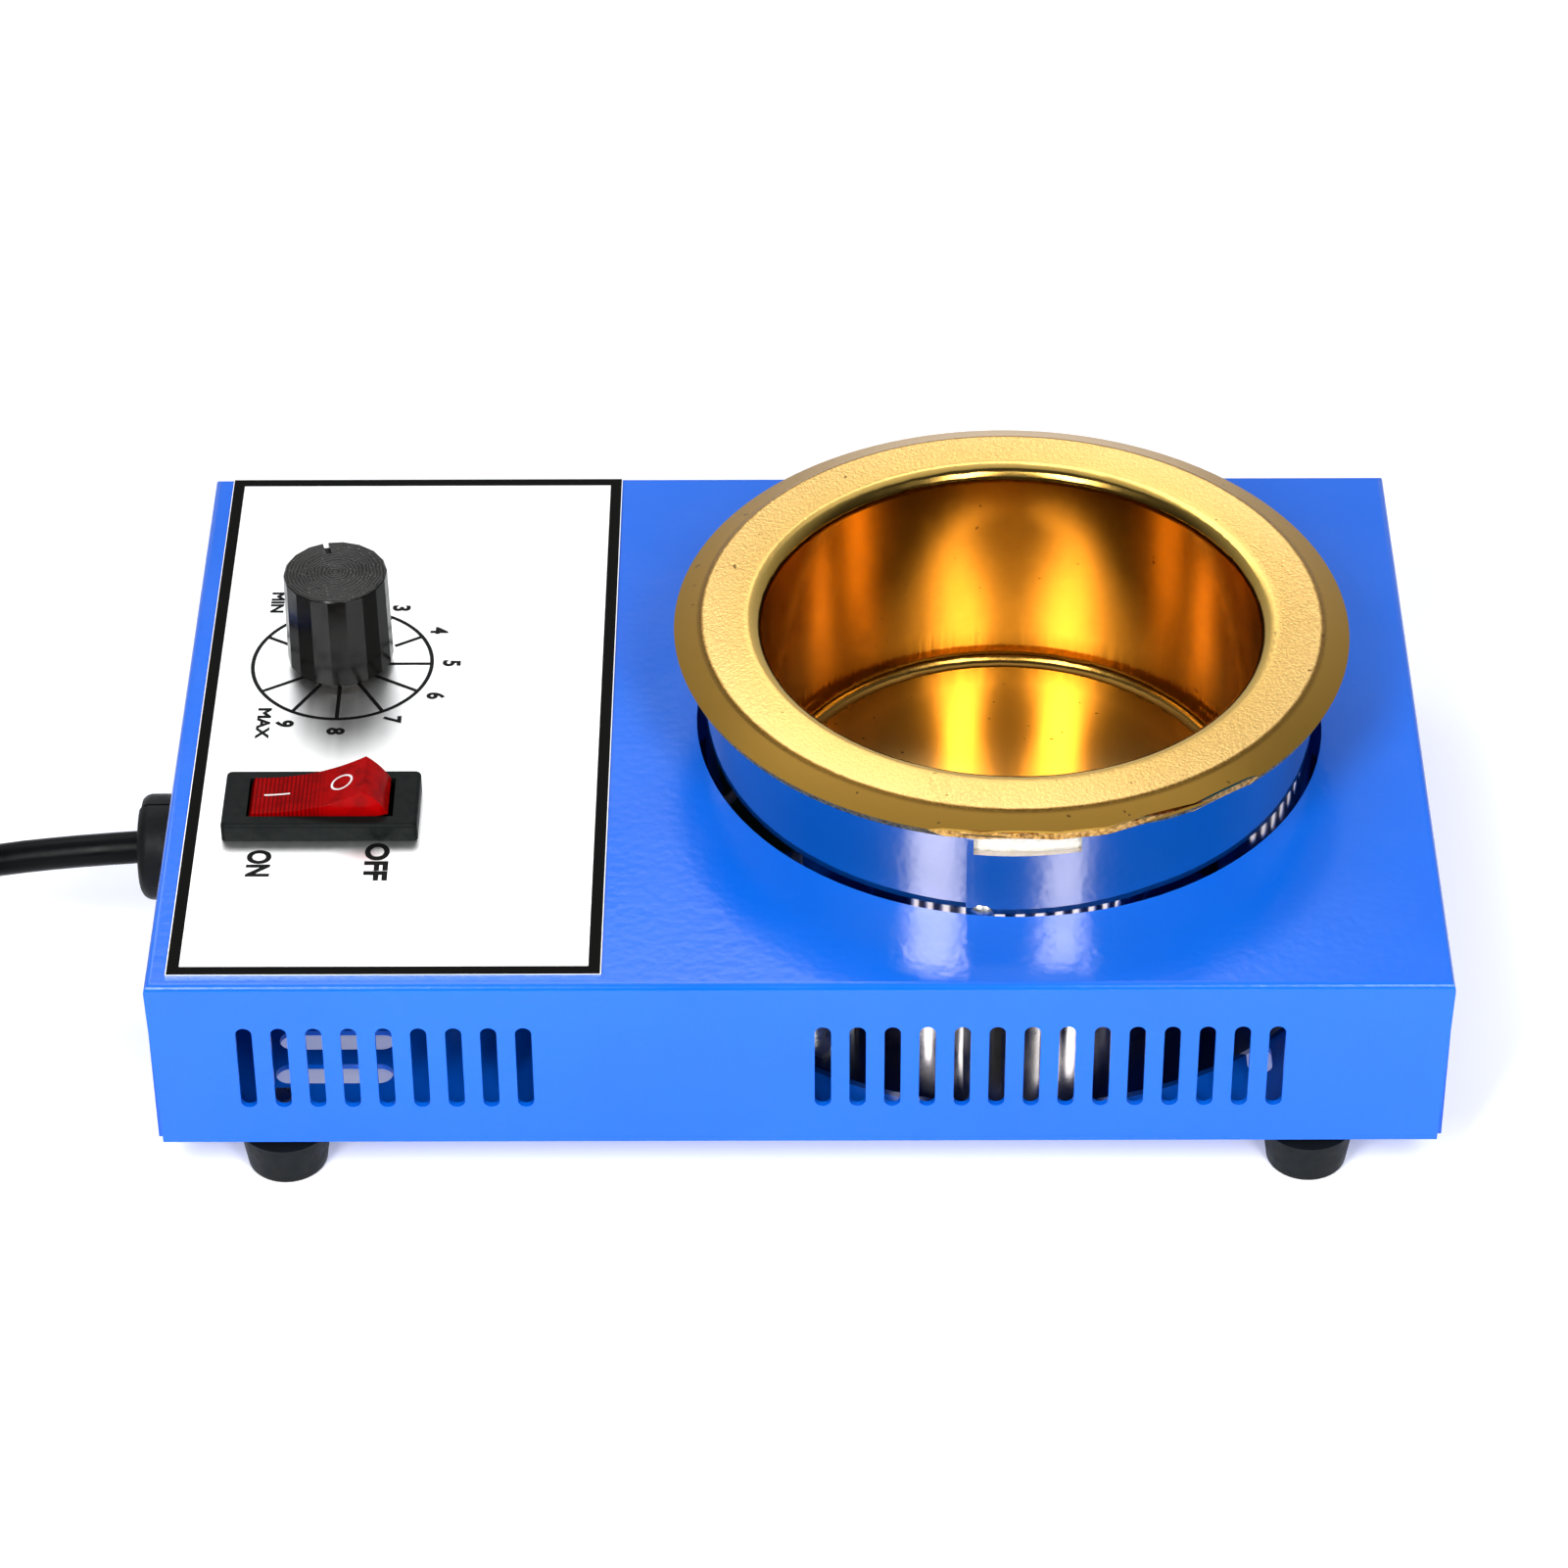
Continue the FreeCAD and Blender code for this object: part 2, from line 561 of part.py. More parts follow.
def top_cover():
    body = new_body("top_cover")
    sketch = new_sketch(body, "XY", "cover_edge")
    box_outline(sketch, "-cover_width / 2", "-cover_depth / 2", "cover_width / 2", "cover_depth / 2")
    block = pad(body, sketch, "cover_height")
    soften(body, block, edges_where(block, at_height(value("cover_top"))), "bend_radius")

    sketch = new_sketch(body, "XY", "cover_edge")
    inside_x, inside_y = "cover_width / 2 - cover_sheet", "cover_depth / 2 - cover_sheet"
    box_outline(sketch, f"-({inside_x})", f"-({inside_y})", inside_x, inside_y)
    pocket(body, sketch, "cover_height - cover_sheet", up=True)

    sketch = new_sketch(body, "XY", "cover_top")
    ring(sketch, "hole_radius", "pot_x")
    ring(sketch, "bushing_radius + bushing_clearance", "dial_x", "dial_y")
    switch_cutout(sketch)
    pocket(body, sketch, "cover_sheet * 2")

    for start, count in (("left_vents_start", "left_vents"), ("right_vents_start", "right_vents")):
        sketch = new_sketch(body, "XZ")
        slot_outline(sketch, start, "cover_edge + vent_rise", "vent_width", "vent_length")
        cut = pocket(body, sketch, "cover_depth * 1.1", symmetric=True)
        repeat(body, cut, sketch, "H_Axis", "vent_pitch", count)

    sketch = new_sketch(body, "YZ", "cover_width / 2")
    first = "-vent_pitch * (side_vents - 1) / 2"
    slot_outline(sketch, first, "cover_edge + vent_rise", "vent_width", "vent_length")
    cut = pocket(body, sketch, "cover_sheet * 2")
    repeat(body, cut, sketch, "H_Axis", "vent_pitch", "side_vents")

    sketch = new_sketch(body, "YZ")
    for side in ("-tab_place", "tab_place"):
        ring(sketch, "screw_hole", side, "side_screw_z")
    pocket(body, sketch, "cover_width * 1.1", symmetric=True)

    sketch = new_sketch(body, "YZ", "-cover_width / 2 + cover_sheet")
    ring(sketch, "gland_neck_radius + gland_clearance", "gland_y", "gland_z")
    pocket(body, sketch, "cover_sheet * 2")

    top = "cover_top - bend_radius"
    sketch = new_sketch(body, "YZ")
    slit_out, slit_in = inside_y, f"{inside_y} - seam_gap"
    box_outline(sketch, slit_in, "cover_edge - seam_gap", slit_out, top)
    box_outline(sketch, f"-({slit_out})", "cover_edge - seam_gap", f"-({slit_in})", top)
    pocket(body, sketch, "cover_width * 1.1", symmetric=True)

    for level, up in (("cover_depth / 2", False), ("-cover_depth / 2", True)):
        sketch = new_sketch(body, "XZ", level)
        for side in ("-", ""):
            edge = f"{side}cover_width / 2"
            corner = f"{side}(cover_width / 2 - flap_taper)"
            steps = [(edge, top), (corner, "cover_edge"), (edge, "cover_edge")]
            outline(sketch, *(steps if side else steps[::-1]))
        pocket(body, sketch, "cover_sheet", up=up)
    return body


def switch_cutout(sketch):
    """The hole that the switch snaps into, alike in the cover and in the faceplate."""
    half_length = "(switch_length / 2 + switch_clearance)"
    half_width = "(switch_width / 2 + switch_clearance)"
    box_outline(
        sketch,
        f"switch_x - {half_length}",
        f"switch_y - {half_width}",
        f"switch_x + {half_length}",
        f"switch_y + {half_width}",
    )


# The tray: floor of the housing with four upturned tabs.


def bottom_plate():
    body = new_body("bottom_plate")
    sketch = new_sketch(body, "XY", "tray_under")
    box_outline(sketch, "-(tray_side)", "-(tray_end)", "tray_side", "tray_end")
    pad(body, sketch, "tray_sheet")

    sketch = new_sketch(body, "XY", "tray_under")
    inside = "(tray_side - tray_sheet)"
    for x_in, x_out in ((inside, "tray_side"), ("-(tray_side)", f"-{inside}")):
        for y in ("-tab_place", "tab_place"):
            box_outline(sketch, x_in, f"{y} - tab_length / 2", x_out, f"{y} + tab_length / 2")
    pad(body, sketch, "tab_height")

    sketch = new_sketch(body, "YZ")
    for side in ("-tab_place", "tab_place"):
        ring(sketch, "screw_hole", side, "side_screw_z")
    pocket(body, sketch, "cover_width", symmetric=True)

    sketch = new_sketch(body, "XY", "tray_floor")
    for x in ("foot_left", "foot_right"):
        for y in ("-foot_y", "foot_y"):
            ring(sketch, "screw_hole", x, y)
    ring(sketch, "stud_radius + stud_clearance", "pot_x")
    for turn in BRACKET_TURNS:
        ring(sketch, "screw_hole", bracket_x(turn), bracket_y(turn))
    eye = "cover_width / 2 - floor_eye_inset"
    slot_outline(sketch, eye, "floor_eye_start", "floor_eye_width", "floor_eye_length")
    pocket(body, sketch, "tray_sheet")

    sketch = new_sketch(body, "XY", "tray_floor")
    left, right = "floor_slot_x - floor_slot_length / 2", "floor_slot_x + floor_slot_length / 2"
    half, end = "floor_slot_width / 2", "floor_slot_start + floor_slot_width / 2"
    outline(
        sketch,
        (f"{right} - {half}", "floor_slot_start - floor_slot_width / 2"),
        (right, "floor_slot_start", half),
        (f"{right} - {half}", end, half),
        (f"{left} + {half}", end),
        (left, "floor_slot_start", half),
        (f"{left} + {half}", "floor_slot_start - floor_slot_width / 2", half),
    )
    cut = pocket(body, sketch, "tray_sheet")
    repeat(body, cut, sketch, "V_Axis", "floor_slot_pitch", "floor_slots")
    return body


BRACKET_TURNS = (0, 120, 240)


def bracket_x(turn, middle="pot_x"):
    return f"{middle} + bracket_screw * cos({turn} - seam_turn)"


def bracket_y(turn):
    return f"bracket_screw * sin({turn} - seam_turn)"


# The faceplate and the feet.


def faceplate():
    body = new_body("faceplate")
    sketch = new_sketch(body, "XY", "cover_top")
    box_outline(sketch, "plate_left", "plate_front", "plate_right", "plate_back")
    ring(sketch, "bushing_radius + bushing_clearance", "dial_x", "dial_y")
    switch_cutout(sketch)
    pad(body, sketch, "plate_sheet")
    return body


def foot(label, x, y):
    """A turned rubber foot, wider at its top, with a neck under the tray and a recess for its screw."""
    body = new_body(label)
    sketch = new_sketch(body, "XZ")
    outline(
        sketch,
        ("foot_recess_radius", "0"),
        ("foot_radius - foot_round", "0"),
        ("foot_radius", "foot_round", "foot_round"),
        ("foot_top_radius", "foot_height - foot_neck"),
        ("foot_neck_radius", "foot_height - foot_neck"),
        ("foot_neck_radius", "foot_height"),
        ("screw_hole", "foot_height"),
        ("screw_hole", "foot_recess"),
        ("foot_recess_radius", "foot_recess"),
    )
    revolve(body, sketch)
    place(body, x, y)
    return body


def pan_screw(name, length):
    """A pan-head screw, head up, with the underside of its head at z = 0."""
    body = new_body(name)
    sketch = new_sketch(body, "XZ")
    outline(
        sketch,
        ("0", f"-({length})"),
        ("screw_radius", f"-({length})"),
        ("screw_radius", "0"),
        ("screw_head_radius", "0"),
        ("screw_head_radius", "screw_head / 2"),
        ("screw_head_radius - screw_head / 3", "screw_head"),
        ("0", "screw_head"),
    )
    turned = revolve(body, sketch)
    cross = new_sketch(body, "XY", "screw_head")
    arm, width = "(screw_head_radius * 0.6)", "(screw_head * 0.2)"
    outline(
        cross,
        (f"-{arm}", f"-{width}"),
        (f"-{width}", f"-{width}"),
        (f"-{width}", f"-{arm}"),
        (width, f"-{arm}"),
        (width, f"-{width}"),
        (arm, f"-{width}"),
        (arm, width),
        (width, width),
        (width, arm),
        (f"-{width}", arm),
        (f"-{width}", width),
        (f"-{arm}", width),
    )
    pocket(body, cross, "screw_head / 2")
    return body


def hex_nut(name, flats, height, bore):
    """A nut with its underside at z = 0."""
    body = new_body(name)
    sketch = new_sketch(body, "XY")
    hexagon(sketch, flats)
    ring(sketch, bore)
    pad(body, sketch, height)
    return body


FOOT_PLACES = {
    "front_left": ("foot_left", "-foot_y"),
    "front_right": ("foot_right", "-foot_y"),
    "rear_left": ("foot_left", "foot_y"),
    "rear_right": ("foot_right", "foot_y"),
}


def foot_screws():
    grip = "foot_height - foot_recess + tray_sheet + nut_height + 1"
    source = pan_screw("foot_screw", grip)
    return copies(
        "foot_screws", source, [(x, y, "foot_recess", (1, 0, 0), "180") for x, y in FOOT_PLACES.values()]
    )


def foot_nuts():
    source = hex_nut("small_nut", "nut_flats", "nut_height", "screw_radius")
    return copies("foot_nuts", source, [(x, y, "tray_floor") for x, y in FOOT_PLACES.values()])


def cover_screws():
    source = pan_screw("cover_screw", "cover_sheet + tray_gap + tray_sheet + 2")
    places = []
    for x, turn in (("-cover_width / 2", "-90"), ("cover_width / 2", "90")):
        for y in ("-tab_place", "tab_place"):
            places.append((x, y, "side_screw_z", (0, 1, 0), turn))
    return copies("cover_screws", source, places)


# The bath and what holds it. These bodies turn round the bath's axis.


def at_pot(body, turned=True):
    place(body, "pot_x", angle="-seam_turn" if turned else "0")


def from_pot(distance, turn):
    """Where a point lies that is this far from the bath's axis, in the turned frame's direction."""
    return f"pot_x + ({distance}) * cos({turn} - seam_turn)", f"({distance}) * sin({turn} - seam_turn)"


def solder_bath():
    """Drawn from one sheet: raised floor, straight wall, flat rim and a lip turned down."""
    body = new_body("solder_bath")
    sketch = new_sketch(body, "XZ")
    outline(
        sketch,
        ("0", "bath_under"),
        ("channel_in - floor_step", "bath_under"),
        ("channel_in", "bath_channel - bath_wall"),
        ("bath_outside", "bath_channel + floor_round", "floor_round + bath_wall"),
        ("bath_outside", "rim_top - rim_round"),
        ("bath_radius + rim_round", "rim_under", "-(rim_round - bath_wall)"),
        ("rim_radius - bath_wall * 0.2", "rim_under"),
        ("lip_radius - bath_wall * 0.4", "rim_under - lip_drop * 0.9"),
        ("lip_radius", "rim_top - lip_drop"),
        ("rim_radius", "rim_top"),
        ("bath_radius + rim_round", "rim_top"),
        ("bath_radius", "rim_top - rim_round", "rim_round"),
        ("bath_radius", "bath_channel + floor_round"),
        ("channel_in", "bath_channel", "-floor_round"),
        ("channel_in - floor_step", "bath_floor"),
        ("0", "bath_floor"),
    )
    revolve(body, sketch)

    sketch = new_sketch(body, "XY", "rim_top")
    keep, clear = "lip_radius - lip_trim", "lip_radius + 2"
    steps = [(f"({clear}) * cos({angle})", f"({clear}) * sin({angle})") for angle in (-112, -80, -46)]
    burrs = ((-47, 0.55), (-48.5, 0), (-60, 0.1), (-76, 0.25), (-84, 0.1), (-97, 0), (-103, 0.2))
    for angle, more in burrs:
        radius = f"({keep} + lip_trim * {more})"
        steps.append((f"{radius} * cos({angle})", f"{radius} * sin({angle})"))
    outline(sketch, *steps)
    pocket(body, sketch, "lip_drop * 2 + bath_wall")
    at_pot(body, turned=False)
    return body


def collar():
    """Rolled from one strip and lapped at the front. Its lap fades over lap_reach."""
    body = new_body("collar")
    sketch = new_sketch(body, "XY", "shield_top")
    ring(sketch, "collar_radius")
    ring(sketch, "collar_inside")
    pad(body, sketch, "rim_under - shield_top")

    sketch = new_sketch(body, "XY", "shield_top")
    degrees_a_radian = 57.3
    seam = f"(-90 - seam_lap / collar_radius * {degrees_a_radian})"
    far = f"({seam} + lap_reach / collar_radius * {degrees_a_radian})"
    fold = "(collar_radius + collar_sheet)"
    outline(
        sketch,
        (f"{fold} * cos({seam})", f"{fold} * sin({seam})"),
        (f"collar_radius * cos({far})", f"collar_radius * sin({far})", "collar_radius * 0.97"),
        (f"collar_inside * cos({far})", f"collar_inside * sin({far})"),
        (f"collar_inside * cos({seam})", f"collar_inside * sin({seam})", "-collar_inside"),
    )
    pad(body, sketch, "rim_under - shield_top - lip_drop / 2")

    sketch = new_sketch(body, "XZ", "collar_inside - 5")
    box_outline(sketch, "notch_start", "rim_under - collar_notch", "notch_end", "rim_under + 1")
    pocket(body, sketch, "10 + collar_sheet * 2", up=True)

    sketch = new_sketch(body, "YZ", "-collar_radius + 2")
    gate_top = "shield_top + lead_gate_height"
    box_outline(sketch, "-lead_gate / 2", "shield_top - 1", "lead_gate / 2", gate_top)
    pocket(body, sketch, "4")

    sketch = new_sketch(body, "XZ", "collar_radius - 2")
    for rise in RIVET_RISES:
        ring(sketch, "rivet_shank", "0", rise)
    pocket(body, sketch, "4", up=True)
    at_pot(body)
    return body


RIVET_RISES = ("shield_top + rivet_rise", "shield_top + rivet_rise - rivet_pitch")


def seam_rivets():
    """Domed heads on the lap with shanks through both layers."""
    body = new_body("seam_rivet")
    sketch = new_sketch(body, "XY")
    dome = "(rivet_radius * rivet_radius + rivet_head * rivet_head) / (2 * rivet_head)"
    outline(
        sketch,
        ("0", "-rivet_head"),
        ("rivet_radius", "0", dome),
        ("rivet_shank", "0"),
        ("rivet_shank", "collar_sheet * 2"),
        ("0", "collar_sheet * 2"),
    )
    revolve(body, sketch)
    x, y = from_pot("collar_radius + collar_sheet", "-90")
    return copies("seam_rivets", body, [(x, y, rise, (0, 0, 1), "-seam_turn") for rise in RIVET_RISES])


def heat_shield():
    body = new_body("heat_shield")
    sketch = new_sketch(body, "XY", "tray_floor")
    ring(sketch, "shield_radius", "pot_x")
    ring(sketch, "stud_radius + stud_clearance", "pot_x")
    for turn in BRACKET_TURNS:
        ring(sketch, "screw_hole", bracket_x(turn), bracket_y(turn))
    pad(body, sketch, "shield_sheet")
    return body


def collar_brackets():
    """Three bent angles whose upright legs stand against the collar."""
    body = new_body("collar_brackets")
    sketch = new_sketch(body, "XZ")
    back = "(collar_radius + press_gap)"
    end = "collar_radius + bracket_foot"
    outline(
        sketch,
        (back, "shield_top"),
        (end, "shield_top"),
        (end, "shield_top + bracket_sheet"),
        (f"{back} + bracket_sheet", "shield_top + bracket_sheet"),
        (f"{back} + bracket_sheet", "shield_top + bracket_height"),
        (back, "shield_top + bracket_height"),
    )
    angle = pad(body, sketch, "bracket_width", symmetric=True)
    hole = new_sketch(body, "XY", "shield_top")
    ring(hole, "screw_hole", "bracket_screw")
    cut = pocket(body, hole, "bracket_sheet", up=True)
    made = turn_round(body, angle, hole, "3")
    made.Originals = [angle, cut]
    document.recompute()
    at_pot(body)
    return body


def bracket_screws():
    source = pan_screw("bracket_bolt", "bracket_sheet + shield_sheet + tray_sheet + nut_height + 1")
    level = "shield_top + bracket_sheet"
    return copies("bracket_screws", source, [(bracket_x(t), bracket_y(t), level) for t in BRACKET_TURNS])


def bracket_nuts():
    source = hex_nut("bracket_nut", "nut_flats", "nut_height", "screw_radius")
    level = "tray_under - nut_height"
    return copies("bracket_nuts", source, [(bracket_x(t), bracket_y(t), level) for t in BRACKET_TURNS])


def bath_stud():
    """Welded under the bath, through the heat shield and the tray."""
    body = new_body("bath_stud")
    sketch = new_sketch(body, "XZ")
    low = "bath_under - stud_length"
    outline(
        sketch,
        ("0", low),
        ("stud_radius - 0.5", low),
        ("stud_radius", f"{low} + 0.5"),
        ("stud_radius", "bath_under - 1"),
        ("stud_radius * 2", "bath_under"),
        ("0", "bath_under"),
    )
    revolve(body, sketch)
    at_pot(body, turned=False)
    return body


def stud_nut():
    body = hex_nut("stud_nut", "stud_nut_flats", "stud_nut_height", "stud_radius")
    place(body, "pot_x", "0", "tray_under - stud_nut_height")
    return body


def split_ring(body, inside, outside, low, height, split):
    """A ring that is open for the heater's leads, on its left."""
    sketch = new_sketch(body, "XY", low)
    ring(sketch, outside)
    ring(sketch, inside)
    pad(body, sketch, height)
    sketch = new_sketch(body, "XY", low)
    box_outline(sketch, f"-({outside}) - 1", f"-{split} / 2", f"-({inside}) + 2", f"{split} / 2")
    pocket(body, sketch, height, up=True)


def heater_band():
    body = new_body("heater_band")
    split_ring(body, "heater_inside", "heater_outside", "heater_low", "heater_height", "heater_split")
    at_pot(body)
    return body


def heater_strap():
    """A strap round the heater with two ears that a small screw pulls together."""
    body = new_body("heater_strap")
    low = "strap_middle - strap_height / 2"
    split_ring(body, "heater_outside + press_gap", "strap_outside", low, "strap_height", "strap_split")
    sketch = new_sketch(body, "XY", low)
    start, end = "-(strap_outside) + 0.1", "-(strap_outside + ear_reach)"
    near, far = "strap_split / 2", "strap_split / 2 + strap_sheet"
    box_outline(sketch, end, near, start, far)
    box_outline(sketch, end, f"-({far})", start, f"-{near}")
    pad(body, sketch, "strap_height")
    sketch = new_sketch(body, "XZ")
    ring(sketch, "strap_screw_radius + press_gap", "-(strap_outside + ear_reach / 2)", "strap_middle")
    pocket(body, sketch, "strap_split * 2 + strap_sheet * 4", symmetric=True)
    at_pot(body)
    return body


def strap_screw():
    body = new_body("strap_screw")
    sketch = new_sketch(body, "XY")
    half = "(strap_split / 2 + strap_sheet)"
    radius = "strap_screw_radius"
    outline(
        sketch,
        ("0", f"-{half} - 2"),
        (radius, f"-{half} - 2"),
        (radius, half),
        (f"{radius} * 1.6", half),
        (f"{radius} * 1.6", f"{half} + 1.2"),
        ("0", f"{half} + 1.2"),
    )
    revolve(body, sketch)
    x, y = from_pot("strap_outside + ear_reach / 2", "180")
    place(body, x, y, "strap_middle", angle="-seam_turn")
    return body


def wool_sleeve():
    body = new_body("wool_sleeve")
    low = "shield_top + wool_margin"
    height = "rim_under - shield_top - wool_margin * 2"
    split_ring(body, "wool_inside", "wool_outside", low, height, "lead_gate")
    at_pot(body)
    return body


def wool_pad():
    """A disc under the bath, with a groove for the heater's leads."""
    body = new_body("wool_pad")
    sketch = new_sketch(body, "XY", "shield_top")
    ring(sketch, "pad_radius")
    ring(sketch, "stud_radius * 2 + 0.5")
    pad(body, sketch, "bath_channel - bath_wall - shield_top - pad_gap")
    sketch = new_sketch(body, "XY", "shield_top")
    box_outline(sketch, "-pad_radius - 1", "-lead_gate / 2", "-pad_radius + 6", "lead_gate / 2")
    pocket(body, sketch, "bath_channel - shield_top", up=True)
    at_pot(body)
    return body


# The rocker switch.


def switch_body():
    body = new_body("switch_body")
    sketch = new_sketch(body, "XY")
    x, y, corner = "bezel_length / 2", "bezel_width / 2", "bezel_corner"
    outline(
        sketch,
        (f"{x} - {corner}", f"-{y}"),
        (x, f"-{y} + {corner}", corner),
        (x, f"{y} - {corner}"),
        (f"{x} - {corner}", y, corner),
        (f"-{x} + {corner}", y),
        (f"-{x}", f"{y} - {corner}", corner),
        (f"-{x}", f"-{y} + {corner}"),
        (f"-{x} + {corner}", f"-{y}", corner),
    )
    frame = pad(body, sketch, "bezel_height")
    soften(body, frame, edges_where(frame, at_height(value("bezel_height"))), "bezel_round")

    sketch = new_sketch(body, "XY")
    x, y = "switch_length / 2", "switch_width / 2"
    box_outline(sketch, f"-{x}", f"-{y}", x, y)
    pad(body, sketch, "switch_depth", down=True)

    sketch = new_sketch(body, "XZ")
    under = "-plate_sheet - cover_sheet - latch_gap"
    for side in ("-", ""):
        steps = [
            (f"{side}(switch_length / 2 - latch_root)", under),
            (f"{side}(switch_length / 2 + latch_reach)", under),
            (f"{side}(switch_length / 2 - latch_root)", f"{under} - latch_height"),
        ]
        outline(sketch, *(steps if side else steps[::-1]))
    pad(body, sketch, "switch_width / 2", symmetric=True)

    sketch = new_sketch(body, "XZ")
    ring(sketch, "rocker_radius + well_gap", "0", "bezel_height - pivot_depth")
    pocket(body, sketch, "well_width", symmetric=True)
    sketch = new_sketch(body, "XZ")
    ring(sketch, "pin_radius + press_gap", "0", "bezel_height - pivot_depth")
    pocket(body, sketch, "rocker_width + pin_reach * 2 + 0.2", symmetric=True)
    place(body, "switch_x", "switch_y", "plate_top")
    return body


def switch_terminals():
    """Four blades in two rows under the switch."""
    body = new_body("switch_terminals")
    sketch = new_sketch(body, "XY", "-switch_depth")
    for x in ("-blade_pitch / 2", "blade_pitch / 2"):
        for y in ("-blade_row / 2", "blade_row / 2"):
            half, thin = "blade_width / 2", "blade_thickness / 2"
            box_outline(sketch, f"{x} - {half}", f"{y} - {thin}", f"{x} + {half}", f"{y} + {thin}")
    pad(body, sketch, "blade_length", down=True)
    place(body, "switch_x", "switch_y", "plate_top")
    return body


def rocker():
    """Dished top, ends that are arcs round the pins, a hub and two pins."""
    body = new_body("rocker")
    sketch = new_sketch(body, "XZ")
    sag = "(rocker_rise - rocker_dip)"
    dish = f"((rocker_reach * rocker_reach + {sag} * {sag}) / (2 * {sag}))"
    low_x = "sqrt(rocker_radius * rocker_radius - rocker_skirt * rocker_skirt)"
    outline(
        sketch,
        ("rocker_reach", "rocker_rise", "rocker_radius"),
        ("-rocker_reach", "rocker_rise", f"-{dish}"),
        (f"-{low_x}", "rocker_skirt", "rocker_radius"),
        ("-hub_radius - 0.4", "rocker_skirt"),
        ("-hub_radius", "0"),
        ("0", "-hub_radius", "hub_radius"),
        ("hub_radius", "0", "hub_radius"),
        ("hub_radius + 0.4", "rocker_skirt"),
        (low_x, "rocker_skirt"),
    )
    pad(body, sketch, "rocker_width", symmetric=True)
    sketch = new_sketch(body, "XZ")
    ring(sketch, "pin_radius")
    pad(body, sketch, "rocker_width + pin_reach * 2", symmetric=True)
    place(body, "switch_x", "switch_y", "pivot_z", (0, -1, 0), "rocker_tilt")
    return body


# The power control with its shaft and knob.


def control_body():
    body = new_body("control_body")
    sketch = new_sketch(body, "XY", "control_under")
    ring(sketch, "control_radius")
    pad(body, sketch, "control_height")
    sketch = new_sketch(body, "XY", "cover_under")
    ring(sketch, "shaft_radius + shaft_room")
    pocket(body, sketch, "shaft_seat + shaft_room")
    place(body, "dial_x", "dial_y")
    return body


def tube(label, inside, outside, low, height):
    body = new_body(label)
    sketch = new_sketch(body, "XY", low)
    ring(sketch, outside)
    ring(sketch, inside)
    pad(body, sketch, height)
    return body


def control_bushing():
    bore = "shaft_radius + press_gap"
    body = tube("control_bushing", bore, "bushing_radius", "cover_under", "bushing_top - cover_under")
    place(body, "dial_x", "dial_y")
    return body


def control_washer():
    bore = "bushing_radius + press_gap"
    body = tube("control_washer", bore, "washer_radius", "plate_top", "washer_sheet")
    place(body, "dial_x", "dial_y")
    return body


def control_nut():
    body = hex_nut("control_nut", "control_nut_flats", "control_nut_height", "bushing_radius + press_gap")
    place(body, "dial_x", "dial_y", "plate_top + washer_sheet")
    return body


def control_lugs():
    body = new_body("control_lugs")
    sketch = new_sketch(body, "XY", "control_under + 2")
    for number in (-1, 0, 1):
        x = f"{number} * lug_pitch"
        start = "-control_radius + 1"
        box_outline(
            sketch, f"{x} - lug_width / 2", "-control_radius - lug_length", f"{x} + lug_width / 2", start
        )
    pad(body, sketch, "lug_thickness")
    sketch = new_sketch(body, "XY", "control_under + 2")
    ring(sketch, "control_radius")
    pocket(body, sketch, "lug_thickness", up=True)
    place(body, "dial_x", "dial_y", angle="90")
    return body


def flatted_round(sketch, radius):
    """A round with the flat of a D shaft towards +X."""
    edge = f"sqrt({radius} * {radius} - shaft_flat * shaft_flat)"
    outline(
        sketch,
        ("shaft_flat", edge),
        ("0", radius, radius),
        (f"-{radius}", "0", radius),
        ("0", f"-{radius}", radius),
        ("shaft_flat", f"-{edge}", radius),
    )


def control_shaft():
    body = new_body("control_shaft")
    low = "cover_under - shaft_seat"
    sketch = new_sketch(body, "XY", low)
    ring(sketch, "shaft_radius")
    pad(body, sketch, "bushing_top - cover_under + shaft_seat")
    sketch = new_sketch(body, "XY", "bushing_top")
    flatted_round(sketch, "shaft_radius")
    pad(body, sketch, "knob_bore + shaft_bore_depth - bushing_top")
    place(body, "dial_x", "dial_y", angle="pointer_turn")
    return body


def knob():
    """Moulded with flat facets that lean in, a hollow foot for the nut and a pointer notch."""
    body = new_body("knob")
    sketch = new_sketch(body, "XY", "knob_foot")
    count = round(value("knob_facets"))
    steps = [
        (f"knob_radius * cos({index} * 360 / {count})", f"knob_radius * sin({index} * 360 / {count})")
        for index in range(count)
    ]
    outline(sketch, *steps)
    prism = pad(body, sketch, "knob_height", draft="-knob_draft")
    foot_edges = edges_where(prism, at_height(value("knob_foot")))
    bevelled = soften(body, prism, foot_edges, "knob_foot_bevel", "Chamfer")
    top_edges = edges_where(bevelled, at_height(value("knob_foot + knob_height")))
    soften(body, bevelled, top_edges, "knob_top_bevel", "Chamfer")

    sketch = new_sketch(body, "XY", "knob_foot")
    ring(sketch, "knob_recess_radius")
    pocket(body, sketch, "knob_recess", up=True)
    sketch = new_sketch(body, "XY", "knob_foot")
    flatted_round(sketch, "(shaft_radius + shaft_fit)")
    pocket(body, sketch, "knob_recess + knob_bore_depth", up=True)
    sketch = new_sketch(body, "XY", "knob_foot + knob_height")
    inner = "knob_radius - pointer_length - 0.3"
    box_outline(sketch, inner, "-pointer_width / 2", "knob_radius + 1", "pointer_width / 2")
    pocket(body, sketch, "pointer_depth")
    place(body, "dial_x", "dial_y", angle="pointer_turn")
    return body


# The control board inside.


